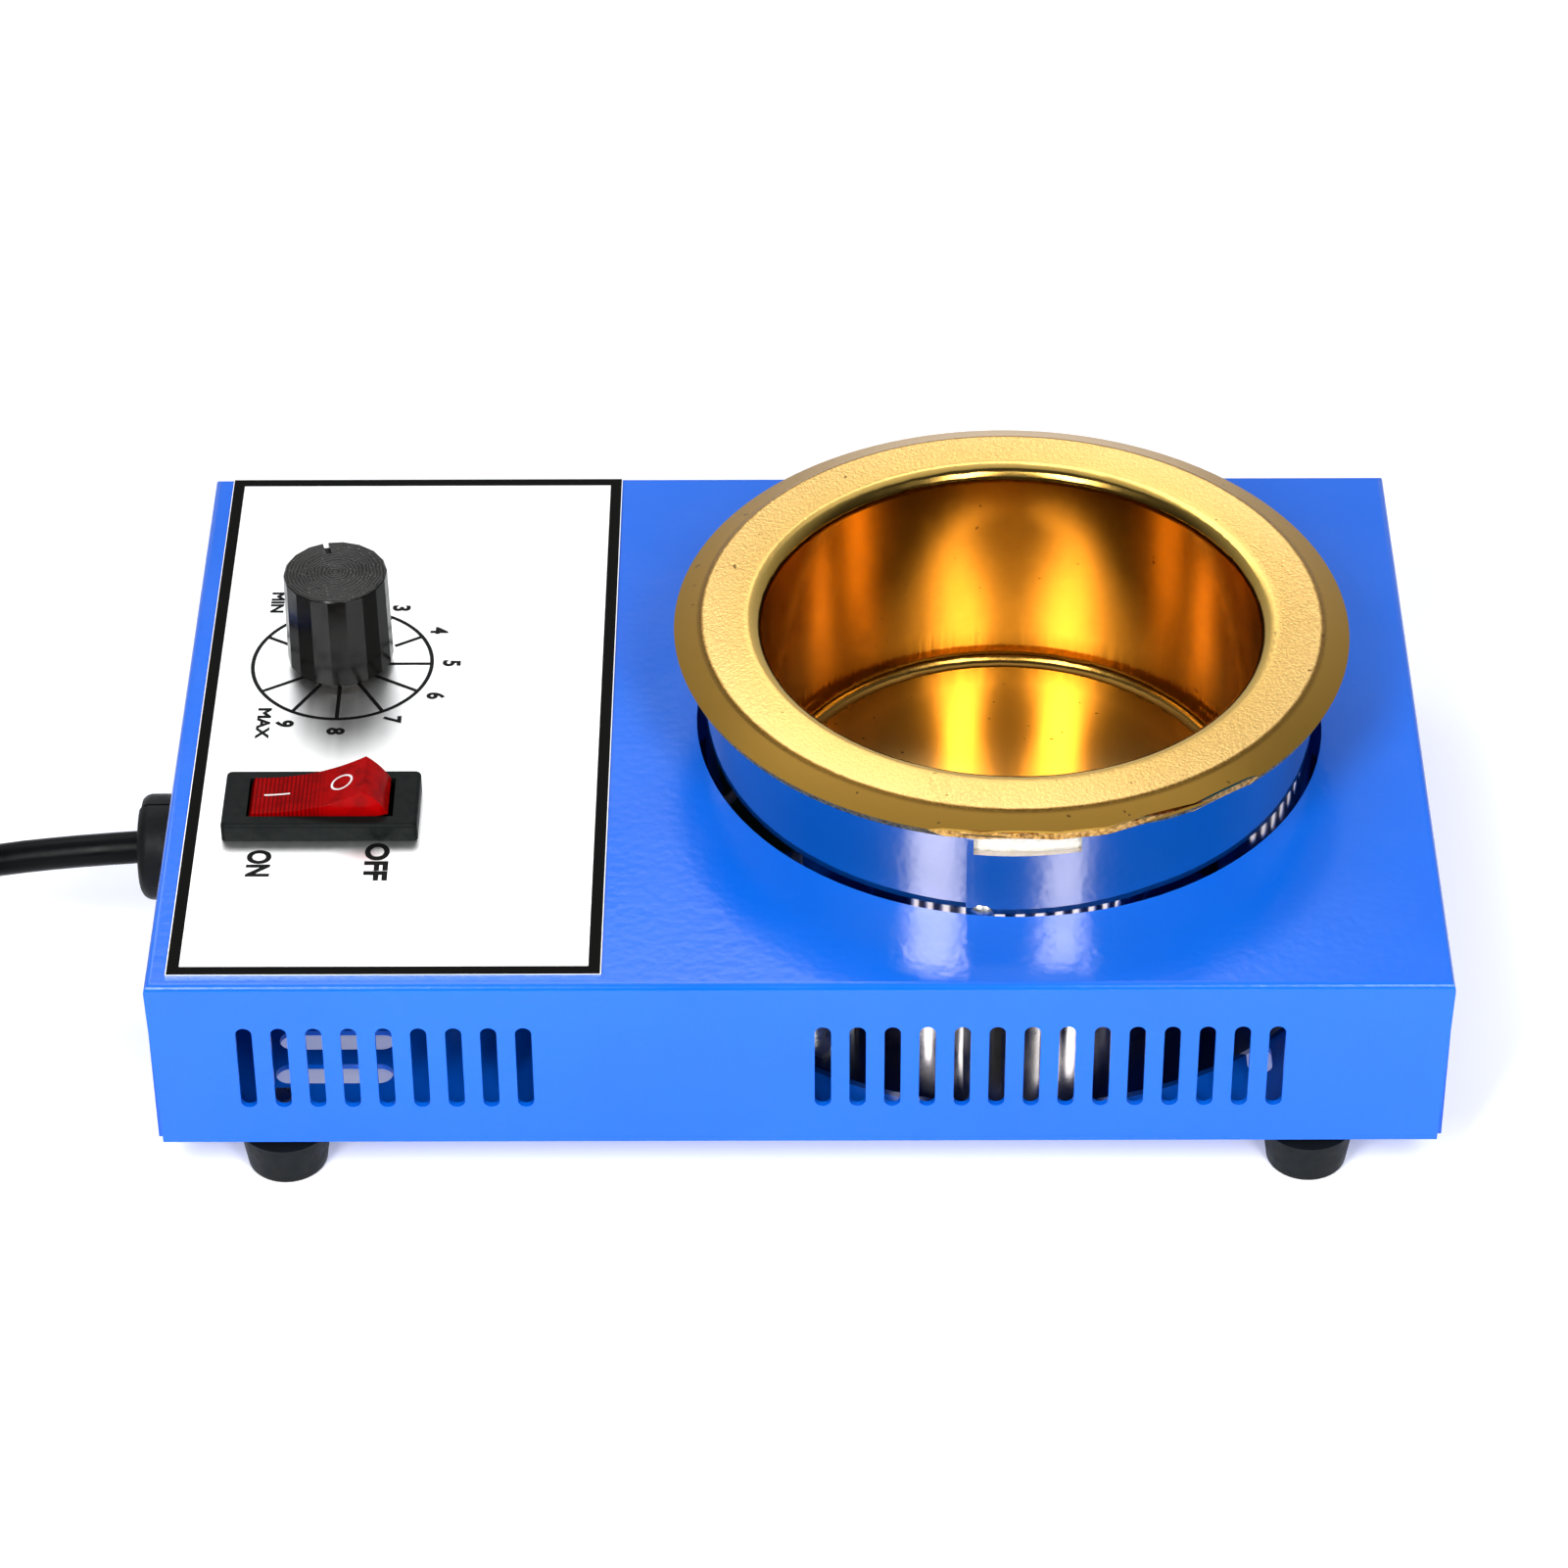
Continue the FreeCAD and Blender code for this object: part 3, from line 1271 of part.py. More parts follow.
def board_corners():
    x, y = "(board_width / 2 - standoff_inset)", "(board_length / 2 - standoff_inset)"
    return [(f"board_x {a} {x}", f"board_y {b} {y}") for a in "+-" for b in "+-"]


def circuit_board():
    body = new_body("circuit_board")
    sketch = new_sketch(body, "XY", "board_under")
    x, y = "board_width / 2", "board_length / 2"
    box_outline(sketch, f"board_x - {x}", f"board_y - {y}", f"board_x + {x}", f"board_y + {y}")
    for corner_x, corner_y in board_corners():
        ring(sketch, "screw_hole", corner_x, corner_y)
    pad(body, sketch, "board_sheet")
    return body


def board_standoffs():
    """Nylon spacers with a snap peg through the board."""
    body = new_body("board_standoff")
    sketch = new_sketch(body, "XZ")
    peg = "standoff_height + board_sheet + 1.5"
    outline(
        sketch,
        ("0", "0"),
        ("standoff_radius", "0"),
        ("standoff_radius", "standoff_height"),
        ("screw_radius", "standoff_height"),
        ("screw_radius", "standoff_height + board_sheet + 0.1"),
        ("screw_radius + 0.4", "standoff_height + board_sheet + 0.1"),
        ("screw_radius - 0.5", peg),
        ("0", peg),
    )
    revolve(body, sketch)
    return copies("board_standoffs", body, [(x, y, "tray_floor") for x, y in board_corners()])


def heat_sink():
    """A U of extruded aluminium that stands on the board."""
    body = new_body("heat_sink")
    sketch = new_sketch(body, "XY", "board_top")
    x, back, front = "sink_width / 2", "sink_y", "sink_y - sink_depth"
    wall = "sink_wall"
    outline(
        sketch,
        (f"board_x - {x}", back),
        (f"board_x - {x}", front),
        (f"board_x - {x} + {wall}", front),
        (f"board_x - {x} + {wall}", f"{back} - {wall}"),
        (f"board_x + {x} - {wall}", f"{back} - {wall}"),
        (f"board_x + {x} - {wall}", front),
        (f"board_x + {x}", front),
        (f"board_x + {x}", back),
    )
    pad(body, sketch, "sink_height")
    return body


def triac():
    """A power package flat against the heat sink, on three legs."""
    body = new_body("triac")
    back = "sink_y - sink_wall"
    sketch = new_sketch(body, "XY", "board_top + triac_legs")
    half = "triac_width / 2"
    box_outline(sketch, f"board_x - {half}", f"{back} - triac_thickness", f"board_x + {half}", back)
    pad(body, sketch, "triac_height")
    sketch = new_sketch(body, "XY", "board_top + triac_legs + triac_height")
    box_outline(sketch, f"board_x - {half}", f"{back} - triac_thickness * 0.3", f"board_x + {half}", back)
    pad(body, sketch, "triac_height * 0.65")
    sketch = new_sketch(body, "XY", "board_top")
    for number in (-1, 0, 1):
        x = f"board_x + {number} * triac_width / 4"
        y = f"{back} - triac_thickness / 2"
        box_outline(sketch, f"{x} - 0.4", f"{y} - 0.3", f"{x} + 0.4", f"{y} + 0.3")
    pad(body, sketch, "triac_legs")
    return body


def capacitor():
    body = new_body("capacitor")
    sketch = new_sketch(body, "XY", "board_top")
    x, y = "capacitor_width / 2", "capacitor_length / 2"
    box_outline(sketch, f"board_x - 4 - {x}", f"-{y}", f"board_x - 4 + {x}", y)
    block = pad(body, sketch, "capacitor_height")
    top = edges_where(block, at_height(value("board_top + capacitor_height")))
    soften(body, block, top, "0.8")
    return body


def resistors():
    """Two resistors on bent legs."""
    body = new_body("resistor")
    sketch = new_sketch(body, "XZ")
    half, leg = "resistor_length / 2", "0.35"
    outline(
        sketch,
        ("0", f"-{half} - 1"),
        (leg, f"-{half} - 1"),
        (leg, f"-{half}"),
        ("resistor_radius", f"-{half}"),
        ("resistor_radius", half),
        (leg, half),
        (leg, f"{half} + 1"),
        ("0", f"{half} + 1"),
    )
    revolve(body, sketch)
    x, z = "board_x + 6", "board_top + resistor_radius + press_gap"
    return copies(
        "resistors",
        body,
        [(x, y, z, (1, 0, 0), "90") for y in ("-resistor_pitch", "resistor_pitch")],
    )


def terminal_block():
    """A moulded block with a round mouth and a screw hole for each way."""
    body = new_body("terminal_block")
    low_y = "board_y - board_length / 2 + 8"
    sketch = new_sketch(body, "XY", "board_top")
    x, y = "block_length / 2", "block_width"
    box_outline(sketch, f"board_x - {x}", low_y, f"board_x + {x}", f"{low_y} + {y}")
    pad(body, sketch, "block_height")
    pitch = "block_length / block_ways"
    first = f"board_x - {x} + {pitch} / 2"
    sketch = new_sketch(body, "XZ")
    ring(sketch, "wire_radius + 0.3", first, "board_top + block_height * 0.35")
    cut = pocket(body, sketch, "cover_depth", symmetric=True)
    repeat(body, cut, sketch, "H_Axis", pitch, "block_ways")
    sketch = new_sketch(body, "XY", "board_top + block_height")
    ring(sketch, "1.5", first, f"{low_y} + {y} / 2")
    cut = pocket(body, sketch, "block_height * 0.4")
    repeat(body, cut, sketch, "H_Axis", pitch, "block_ways")
    return body


# Cords and wires: straight runs joined by tangent arcs.


def rounded_path(points):
    """Each arc has 0.45 of its shorter run for its tangent."""
    edges, radii, last = [], [], points[0]
    for before, corner, after in zip(points, points[1:], points[2:]):
        there, onward = (corner - before), (after - corner)
        tangent = 0.45 * min(there.Length, onward.Length)
        half_turn = there.getAngle(onward) / 2
        radii.append(tangent / math.tan(half_turn))
        there.normalize()
        onward.normalize()
        start, end = corner - there * tangent, corner + onward * tangent
        inwards = onward - there
        inwards.normalize()
        middle = corner + inwards * (radii[-1] * (1 / math.cos(half_turn) - 1))
        edges.append(Part.LineSegment(last, start).toShape())
        edges.append(Part.Arc(start, middle, end).toShape())
        last = end
    edges.append(Part.LineSegment(last, points[-1]).toShape())
    return Part.Wire(edges), radii


def tube_along(points, radius):
    path, radii = rounded_path(points)
    section = Part.Wire([Part.makeCircle(radius, points[0], points[1] - points[0])])
    solid = path.makePipeShell([section], True, True)
    expected = math.pi * radius**2 * path.Length
    if abs(solid.Volume - expected) > 0.01 * expected:
        raise RuntimeError("a tube's volume isn't its section times its length")
    return solid, radii, path.Length


def wires(label, routes):
    """One node of separate insulated wires."""
    made = document.addObject("Part::Feature", label)
    made.Label = label
    solids = [tube_along(route, value("wire_radius"))[0] for route in routes]
    made.Shape = Part.makeCompound(solids)
    return made


def point(x, y, z):
    """A point from bound texts."""
    return Vector(*(value(text) for text in (x, y, z)))


def block_mouth(way, front):
    """Where a wire meets a way of the terminal block, at its front or at its back."""
    y = "board_y - board_length / 2 + 8" + ("" if front else " + block_width")
    x = f"board_x - block_length / 2 + ({way} + 0.5) * block_length / block_ways"
    return point(x, y, "board_top + block_height * 0.35")


def heater_leads():
    """From the ends of the heater down past its pad, out through the gate and to the block."""
    turn = math.radians(180 - value("seam_turn"))
    outward, across = Vector(math.cos(turn), math.sin(turn), 0), Vector(-math.sin(turn), math.cos(turn), 0)
    axis = Vector(value("pot_x"), 0, 0)
    middle = value("heater_inside + heater_thickness / 2")
    low, gate = value("heater_low"), value("shield_top") + value("lead_gate_height") / 2
    bend, reach, bow = value("lead_bend"), value("lead_reach"), value("lead_bow")
    lift, approach = value("lead_lift"), value("lead_approach")
    beside = value("pot_x - collar_radius - lead_clear")
    routes = []
    for way, side in ((2, 1), (3, -1)):
        aside = across * (side * 4.6)
        mouth = block_mouth(way, front=False)
        routes.append(
            [
                axis + outward * middle + aside + Vector(0, 0, low - value("wire_seat") * 2),
                axis + outward * (middle - 0.8) + aside * 0.8 + Vector(0, 0, gate + 3.2),
                axis + outward * (middle + bend) + aside * 0.7 + Vector(0, 0, gate),
                axis + outward * (middle + bend + reach) + aside * 0.7 + Vector(0, 0, gate + 1.5),
                Vector(beside - way * 1.2, mouth.y + bow, gate + lift - way),
                Vector(mouth.x, mouth.y + approach, mouth.z + 1),
                mouth,
            ]
        )
    return wires("heater_leads", routes)


def mains_leads():
    """From the gland to the switch, the block and the earth tag, and from the switch to the block."""
    inlet = [point("wire_seat - gland_inside", f"gland_y + {across}", "gland_z") for across in (-2, 0, 2)]
    face, blade_z = "((blade_row + blade_thickness) / 2 + wire_seat)", "switch_under - blade_length * 0.7"
    live_in = point("switch_x - blade_pitch / 2", f"switch_y + {face}", blade_z)
    live_out = point("switch_x + blade_pitch / 2", f"switch_y - {face}", blade_z)
    tag_face = "earth_tag_y - earth_tag_sheet / 2 - wire_seat"
    earth = point("earth_tag_x", tag_face, "tray_floor + earth_tag_height * 0.6")
    block = [block_mouth(way, front=True) for way in (0, 1)]
    beside = value("switch_x + switch_length / 2") + 1.8
    return wires(
        "mains_leads",
        [
            [
                inlet[0],
                inlet[0] + Vector(5, -0.2, -0.5),
                live_in + Vector(-3, 6, 1),
                live_in + Vector(-0.3, 3.6, 0),
                live_in,
            ],
            [
                inlet[1],
                inlet[1] + Vector(6.7, -0.2, -0.7),
                Vector(value("switch_x + neutral_pass"), inlet[1].y + 1.1, inlet[1].z - 3),
                Vector(beside - 1, inlet[1].y - 3.4, block[0].z + 0.4),
                Vector(beside, block[0].y, block[0].z + 0.4),
                block[0] + Vector(-4.5, -9, 0.2),
                block[0] + Vector(0, -7.5, 0),
                block[0],
            ],
            [
                inlet[2],
                inlet[2] + Vector(3.4, 0.3, -0.3),
                earth + Vector(1.6, -9.5, 3),
                earth + Vector(0.2, -3.5, 0.2),
                earth,
            ],
            [
                live_out,
                live_out + Vector(0.2, -4.3, 0),
                live_out + Vector(5.4, -8.3, 0.5),
                block[1] + Vector(-value("live_swing"), -value("live_dip"), -1.2),
                block[1] + Vector(-2.5, -11, 0),
                block[1] + Vector(0, -6, 0),
                block[1],
            ],
        ],
    )


def control_leads():
    """Straight down from the control's lugs to the board."""
    routes = []
    for number in (-1, 0, 1):
        x, y = "board_x - board_width / 2 + wire_radius + 0.4", f"dial_y + {number} * lug_pitch"
        under = "control_under + 2"
        routes.append(
            [
                point(x, y, f"{under} - wire_seat"),
                point(f"{x} - wire_seat", y, f"({under} + board_top) / 2"),
                point(x, y, "board_top + wire_seat"),
            ]
        )
    return wires("control_leads", routes)


def earth_tag():
    """Spot-welded to the tray, with the earth wire on it."""
    made = document.addObject("Part::Box", "earth_tag")
    made.Label = "earth_tag"
    for name, text in zip(("Length", "Width", "Height"), ("earth_tag_width", "earth_tag_sheet", "earth_tag_height")):
        made.setExpression(name, bound(text))
    place(made, "earth_tag_x - earth_tag_width / 2", "earth_tag_y - earth_tag_sheet / 2", "tray_floor")
    return made


# The gland, the cord and the plug.


def cord_gland():
    """The head of a two-part strain relief outside the flap, with its neck through the hole."""
    body = new_body("cord_gland")
    sketch = new_sketch(body, "XZ")
    face, neck, edge = "gland_reach", "cover_sheet + gland_neck", "gland_round"
    outline(
        sketch,
        ("0", f"-({neck})"),
        ("gland_neck_radius", f"-({neck})"),
        ("gland_neck_radius", "0"),
        ("gland_radius", "0"),
        ("gland_radius", f"{face} - {edge}"),
        (f"gland_radius - {edge}", face, edge),
        ("0", face),
    )
    revolve(body, sketch)
    sketch = new_sketch(body, "XY", face)
    box_outline(sketch, "-gland_radius - 1", "gland_seam", "gland_radius + 1", "gland_radius + 1")
    pocket(body, sketch, "gland_step")
    sketch = new_sketch(body, "XY", face)
    box_outline(sketch, "gland_radius - gland_seam", "0", "gland_radius + 1", "gland_seam")
    pocket(body, sketch, face)
    place(body, "-cover_width / 2", "gland_y", "gland_z", (0, -1, 0), "90")
    return body


def gland_lock():
    """A ring that is pressed on the neck inside the flap."""
    body = tube("gland_lock", "gland_neck_radius", "lock_radius", "cover_sheet", "lock_thickness")
    place(body, "-cover_width / 2", "gland_y", "gland_z", (0, 1, 0), "90")
    return body


# The cord's route, chosen by hand, with its first coordinate from the cover's left side: out of the
# gland, down to the top of the coil.
RUN = (
    (-6, -14.6, 26.2),
    (-23, -14.8, 25.1),
    (-42, -13.6, 20.1),
    (-61, -11.0, 13.8),
    (-77, -8.6, 9.4),
    (-88, -7.6, 8.2),
)
# From the foot of the coil to the plug.
TAIL = (
    (-60.7, 26, 2.65),
    (-60.4, 16, 2.65),
    (-58, 6.5, 4.6),
    (-55, -2, 6.2),
    (-54, -14, 7),
)


def cord(label, route):
    made = document.addObject("Part::Feature", label)
    made.Label = label
    side = Vector(value("-cover_width / 2"), 0, 0)
    solid, radii, length = tube_along([side + Vector(*step) for step in route], value("cord_radius"))
    made.Shape = solid
    print(label, "radii", [round(radius, 1) for radius in radii], "length", round(length, 1))
    return made


def cord_coil():
    """The outer shape of the coil: three turns side by side in two layers."""
    body = new_body("cord_coil")
    sketch = new_sketch(body, "XZ")
    inside, outside = "coil_radius - cord_diameter * 1.5", "coil_radius + cord_diameter * 1.5"
    top, edge = "cord_diameter * 2", "cord_radius"
    outline(
        sketch,
        (f"{outside} - {edge}", "0"),
        (outside, edge, edge),
        (outside, f"{top} - {edge}"),
        (f"{outside} - {edge}", top, edge),
        (f"{inside} + {edge}", top),
        (inside, f"{top} - {edge}", edge),
        (inside, edge),
        (f"{inside} + {edge}", "0", edge),
    )
    revolve(body, sketch)
    place(body, "coil_x", "coil_y")
    return body


def plug_body():
    """A moulded plug on its back: narrow where the cord enters, its blades upwards."""
    body = new_body("plug_body")
    sketch = new_sketch(body, "XY")
    half, neck, far = "plug_width / 2", "plug_relief_radius * 1.7", "-plug_length"
    outline(
        sketch,
        (f"-{half} * 0.75", far),
        (f"{half} * 0.75", far),
        (half, f"{far} * 0.75"),
        (half, f"{far} * 0.45"),
        (neck, "0"),
        (f"-({neck})", "0"),
        (f"-{half}", f"{far} * 0.45"),
        (f"-{half}", f"{far} * 0.75"),
    )
    block = pad(body, sketch, "plug_thickness")
    upright = [
        f"Edge{number}"
        for number, edge in enumerate(block.Shape.Edges, start=1)
        if abs(edge.Vertexes[0].Z - edge.Vertexes[-1].Z) > 1
    ]
    rounded = soften(body, block, upright, "plug_round * 2")
    top = edges_where(rounded, at_height(value("plug_thickness")))
    soften(body, rounded, top, "plug_round")
    place(body, "plug_x", "plug_back")
    return body


def plug_relief():
    """The sleeve that the cord leaves the plug by."""
    body = new_body("plug_relief")
    sketch = new_sketch(body, "XY")
    outline(
        sketch,
        ("0", "0"),
        ("plug_relief_radius", "0"),
        ("cord_radius + 0.6", "plug_relief"),
        ("0", "plug_relief"),
    )
    revolve(body, sketch)
    place(body, "plug_x", "plug_back", "plug_thickness / 2")
    return body


def plug_pins():
    """Three flat blades round the middle of the plug's face, two of them leaning together."""
    blade = new_body("plug_blade")
    sketch = new_sketch(blade, "XY")
    thin, wide = "plug_blade_thickness / 2", "plug_blade_width / 2"
    box_outline(sketch, f"-{thin}", f"-{wide}", thin, wide)
    pad(blade, sketch, "plug_blade_length")
    places = []
    for turn, lean in ((90, "0"), (210, "-30"), (330, "30")):
        x = f"plug_x + plug_blade_ring * cos({turn})"
        y = f"plug_back - plug_length * 0.55 + plug_blade_ring * sin({turn})"
        places.append((x, y, "plug_thickness", (0, 0, 1), lean))
    return copies("plug_pins", blade, places)


NODES = [
    top_cover(),
    bottom_plate(),
    faceplate(),
    *(foot("foot_" + name, x, y) for name, (x, y) in FOOT_PLACES.items()),
    foot_screws(),
    foot_nuts(),
    cover_screws(),
    solder_bath(),
    collar(),
    seam_rivets(),
    heat_shield(),
    collar_brackets(),
    bracket_screws(),
    bracket_nuts(),
    bath_stud(),
    stud_nut(),
    heater_band(),
    heater_strap(),
    strap_screw(),
    wool_sleeve(),
    wool_pad(),
    switch_body(),
    switch_terminals(),
    rocker(),
    control_body(),
    control_bushing(),
    control_washer(),
    control_nut(),
    control_lugs(),
    control_shaft(),
    knob(),
    circuit_board(),
    board_standoffs(),
    heat_sink(),
    triac(),
    capacitor(),
    resistors(),
    terminal_block(),
    heater_leads(),
    mains_leads(),
    control_leads(),
    earth_tag(),
    cord_gland(),
    gland_lock(),
    cord("cord_run", RUN),
    cord_coil(),
    cord("cord_tail", TAIL),
    plug_body(),
    plug_relief(),
    plug_pins(),
]

document.recompute()
for made in document.Objects:
    if {"Invalid", "Error"} & set(made.State):
        raise RuntimeError(f"{made.Label} failed: {made.State}")
for node in NODES:
    if node.Shape.isNull() or not node.Shape.isValid():
        raise RuntimeError(f"{node.Label} has no valid shape")

os.makedirs("parts", exist_ok=True)
for node in NODES:
    node.Shape.exportStep(f"parts/{node.Label}.step")
print(len(NODES), "nodes")
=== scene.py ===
import bpy
import math
from mathutils import Euler, Matrix, Vector


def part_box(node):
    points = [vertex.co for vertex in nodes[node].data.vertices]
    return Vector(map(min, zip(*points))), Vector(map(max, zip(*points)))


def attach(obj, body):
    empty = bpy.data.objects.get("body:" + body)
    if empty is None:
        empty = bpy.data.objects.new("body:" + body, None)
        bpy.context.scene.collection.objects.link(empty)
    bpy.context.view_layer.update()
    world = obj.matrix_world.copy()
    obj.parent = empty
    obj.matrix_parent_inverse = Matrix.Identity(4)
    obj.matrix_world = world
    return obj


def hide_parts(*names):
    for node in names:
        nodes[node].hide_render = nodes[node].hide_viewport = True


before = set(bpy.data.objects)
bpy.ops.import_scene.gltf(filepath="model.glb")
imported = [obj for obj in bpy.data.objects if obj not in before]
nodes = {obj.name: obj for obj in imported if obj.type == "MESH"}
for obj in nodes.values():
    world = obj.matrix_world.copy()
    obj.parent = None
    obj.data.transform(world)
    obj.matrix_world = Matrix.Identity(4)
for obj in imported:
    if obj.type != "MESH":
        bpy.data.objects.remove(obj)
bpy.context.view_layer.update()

# The camera stands in front of the pot and looks down on it by 39 degrees through a long lens, so the sides
# run nearly parallel. It looks a hair aside and is rolled by less than half a degree.
look_down, look_aside, camera_roll = 38.68, 0.383, -0.391
camera = bpy.data.objects.new("camera", bpy.data.cameras.new("camera"))
bpy.context.scene.collection.objects.link(camera)
bpy.context.scene.camera = camera
camera.data.sensor_width = 36
camera.data.lens = 124.07
camera.data.clip_start = 0.01
camera.location = (0.0021, -0.6914, 0.5807)
level_aim = Euler((math.radians(90 - look_down), 0, math.radians(look_aside))).to_matrix()
camera.rotation_euler = (level_aim @ Matrix.Rotation(math.radians(camera_roll), 3, "Z")).to_euler()

bpy.context.scene.view_settings.view_transform = "Standard"


# The room is pale. It is bright behind the pot and dim on the side of the camera, so that the polished metal
# has both to mirror.
room_dim, room_bright = 0.06, 0.8
world = bpy.data.worlds.new("pale_room")
world.use_nodes = True
bpy.context.scene.world = world
background = world.node_tree.nodes["Background"]
background.inputs["Color"].default_value = (0.96, 0.98, 1.0, 1)
way_out = world.node_tree.nodes.new("ShaderNodeTexCoord")
way_parts = world.node_tree.nodes.new("ShaderNodeSeparateXYZ")
room_light = world.node_tree.nodes.new("ShaderNodeMapRange")
room_light.inputs["From Min"].default_value = -0.1
room_light.inputs["From Max"].default_value = 1
room_light.inputs["To Min"].default_value = room_dim
room_light.inputs["To Max"].default_value = room_bright
world.node_tree.links.new(way_out.outputs["Generated"], way_parts.inputs["Vector"])
world.node_tree.links.new(way_parts.outputs["Y"], room_light.inputs["Value"])
world.node_tree.links.new(room_light.outputs["Result"], background.inputs["Strength"])


# Two tall soft boxes stand on the left and the right of the camera, a wide one hangs over the table, and a
# card behind on the left brightens the faceplate and the front corner of the paint.
pot_middle = (0.034, 0, 0)
bath_aim = (pot_middle[0], 0, 0.04)


def soft_light(name, size, watts, place, aim):
    """A soft box of this width and height at a place, turned to its aim."""
    lamp_data = bpy.data.lights.new(name, "AREA")
    lamp_data.shape = "RECTANGLE"
    lamp_data.size, lamp_data.size_y = size
    lamp_data.energy = watts
    lamp = bpy.data.objects.new(name, lamp_data)
    bpy.context.scene.collection.objects.link(lamp)
    lamp.location = place
    lamp.rotation_euler = (Vector(aim) - Vector(place)).to_track_quat("-Z", "Y").to_euler()


def seen_from_pot(azimuth, elevation, distance):
    """A place this far from the pot; azimuth 0 is towards the front and grows to the right."""
    azimuth, elevation = math.radians(azimuth), math.radians(elevation)
    level = distance * math.cos(elevation)
    sideways = pot_middle[0] + level * math.sin(azimuth)
    return sideways, -level * math.cos(azimuth), distance * math.sin(elevation)


soft_light("left_box", (0.23, 0.52), 6.7, seen_from_pot(-28, 40, 0.95), bath_aim)
soft_light("right_box", (0.19, 0.52), 5.2, seen_from_pot(21, 40, 0.95), bath_aim)
soft_light("over_box", (1.6, 1.2), 3.6, (0, 0.35, 1.4), (0, -0.05, 0))
soft_light("back_card", (0.9, 0.5), 4.3, seen_from_pot(198, 53, 1.5), (-0.05, 0, 0.04))


# The floor is plain, pale and matt. It glows faintly of itself, so it stays white up to the edges of the
# picture.
def surface(name, colour, metallic=0.0, roughness=0.4, **sockets):
    """A material whose shader holds these constant values."""
    made = bpy.data.materials.new(name)
    made.use_nodes = True
    shader = made.node_tree.nodes["Principled BSDF"]
    shader.inputs["Base Color"].default_value = (*colour, 1)
    shader.inputs["Metallic"].default_value = metallic
    shader.inputs["Roughness"].default_value = roughness
    for socket, setting in sockets.items():
        shader.inputs[socket.replace("_", " ")].default_value = setting
    return made


bpy.ops.object.select_all(action="DESELECT")
bpy.ops.mesh.primitive_plane_add(size=8, location=(0, 0, 0))
floor = bpy.context.object
floor.name = "floor"
floor_paint = surface(
    "floor_paint",
    (0.97, 0.97, 0.97),
    roughness=0.9,
    Emission_Color=(1, 1, 1, 1),
    Emission_Strength=0.2,
)
floor.data.materials.append(floor_paint)


# The mains cord is round black PVC with a soft sheen, 5.3 mm thick. It leaves the gland on the left, comes
# down to the table, is wound into a coil of nearly six laps in two layers, and runs from there to its plug.
cord_diameter = 0.0053
cord_run = [
    (-0.1063, -0.0146, 0.0262),
    (-0.1233, -0.0148, 0.0251),
    (-0.1423, -0.0136, 0.0201),
    (-0.1613, -0.0110, 0.0138),
    (-0.1773, -0.0086, 0.0094),
    (-0.1883, -0.0076, 0.0082),
]
cord_tail = [
    (-0.1607, 0.016, 0.00265),
    (-0.1583, 0.0065, 0.0046),
    (-0.1553, -0.002, 0.0062),
    (-0.1543, -0.014, 0.007),
]
coil_middle = Vector((-0.1953, 0.027, 0))
# The radius and the height of each lap.
coil_laps = [
    (0.0343, 0.00795),
    (0.029, 0.00795),
    (0.0237, 0.00795),
    (0.0237, 0.00265),
    (0.029, 0.00265),
    (0.0343, 0.00265),
]
steps_a_lap, coil_steps = 24, 138
jog_part = 1 / 6
layer_tuck = 0.0022


def coil_point(step):
    """A control point of the coil: a lap keeps its radius, then steps over to the next in its last sixth."""
    lap, part = divmod(step / steps_a_lap, 1)
    radius, height = coil_laps[int(lap)]
    jog = max(0, (part - 1 + jog_part) / jog_part)
    if jog > 0:
        next_radius, next_height = coil_laps[int(lap) + 1]
        tuck = layer_tuck * math.sin(math.pi * jog) if next_height != height else 0
        radius += (next_radius - radius) * jog - tuck
        height += (next_height - height) * jog
    angle = math.radians(-90) - 2 * math.pi * step / steps_a_lap
    reach = radius / math.cos(math.pi / steps_a_lap)
    return coil_middle + Vector((reach * math.cos(angle), reach * math.sin(angle), height))


cord_points = cord_run + [tuple(coil_point(step)) for step in range(coil_steps)] + cord_tail

cord_curve = bpy.data.curves.new("mains_cord", "CURVE")
cord_curve.dimensions = "3D"
cord_line = cord_curve.splines.new("NURBS")
cord_line.points.add(len(cord_points) - 1)
for knot, place in zip(cord_line.points, cord_points):
    knot.co = (*place, 1)
cord_line.order_u = 3
cord_line.use_endpoint_u = True
cord_line.resolution_u = 6
cord_curve.bevel_depth = cord_diameter / 2
cord_curve.bevel_resolution = 6
cord_curve.use_fill_caps = True
mains_cord = bpy.data.objects.new("mains_cord", cord_curve)
bpy.context.scene.collection.objects.link(mains_cord)


def add(made, kind, **settings):
    """A node of the material."""
    node = made.node_tree.nodes.new(kind)
    for name, setting in settings.items():
        setattr(node, name, setting)
    return node


def place_on(made, scale=(1, 1, 1), middle=(0, 0, 0)):
    """The piece's own coordinates, measured from a middle and stretched."""
    coordinates = add(made, "ShaderNodeTexCoord")
    mapping = add(made, "ShaderNodeMapping")
    mapping.inputs["Location"].default_value = [-m * s for m, s in zip(middle, scale)]
    mapping.inputs["Scale"].default_value = scale
    made.node_tree.links.new(coordinates.outputs["Object"], mapping.inputs["Vector"])
    return mapping.outputs["Vector"]


def noise(made, scale, detail=2.0, stretch=(1, 1, 1)):
    """Grain of the piece's surface: this many grains to the metre, and this many finer layers on them."""
    grain = add(made, "ShaderNodeTexNoise")
    grain.inputs["Scale"].default_value = scale
    grain.inputs["Detail"].default_value = detail
    made.node_tree.links.new(place_on(made, stretch), grain.inputs["Vector"])
    return grain.outputs["Fac"]


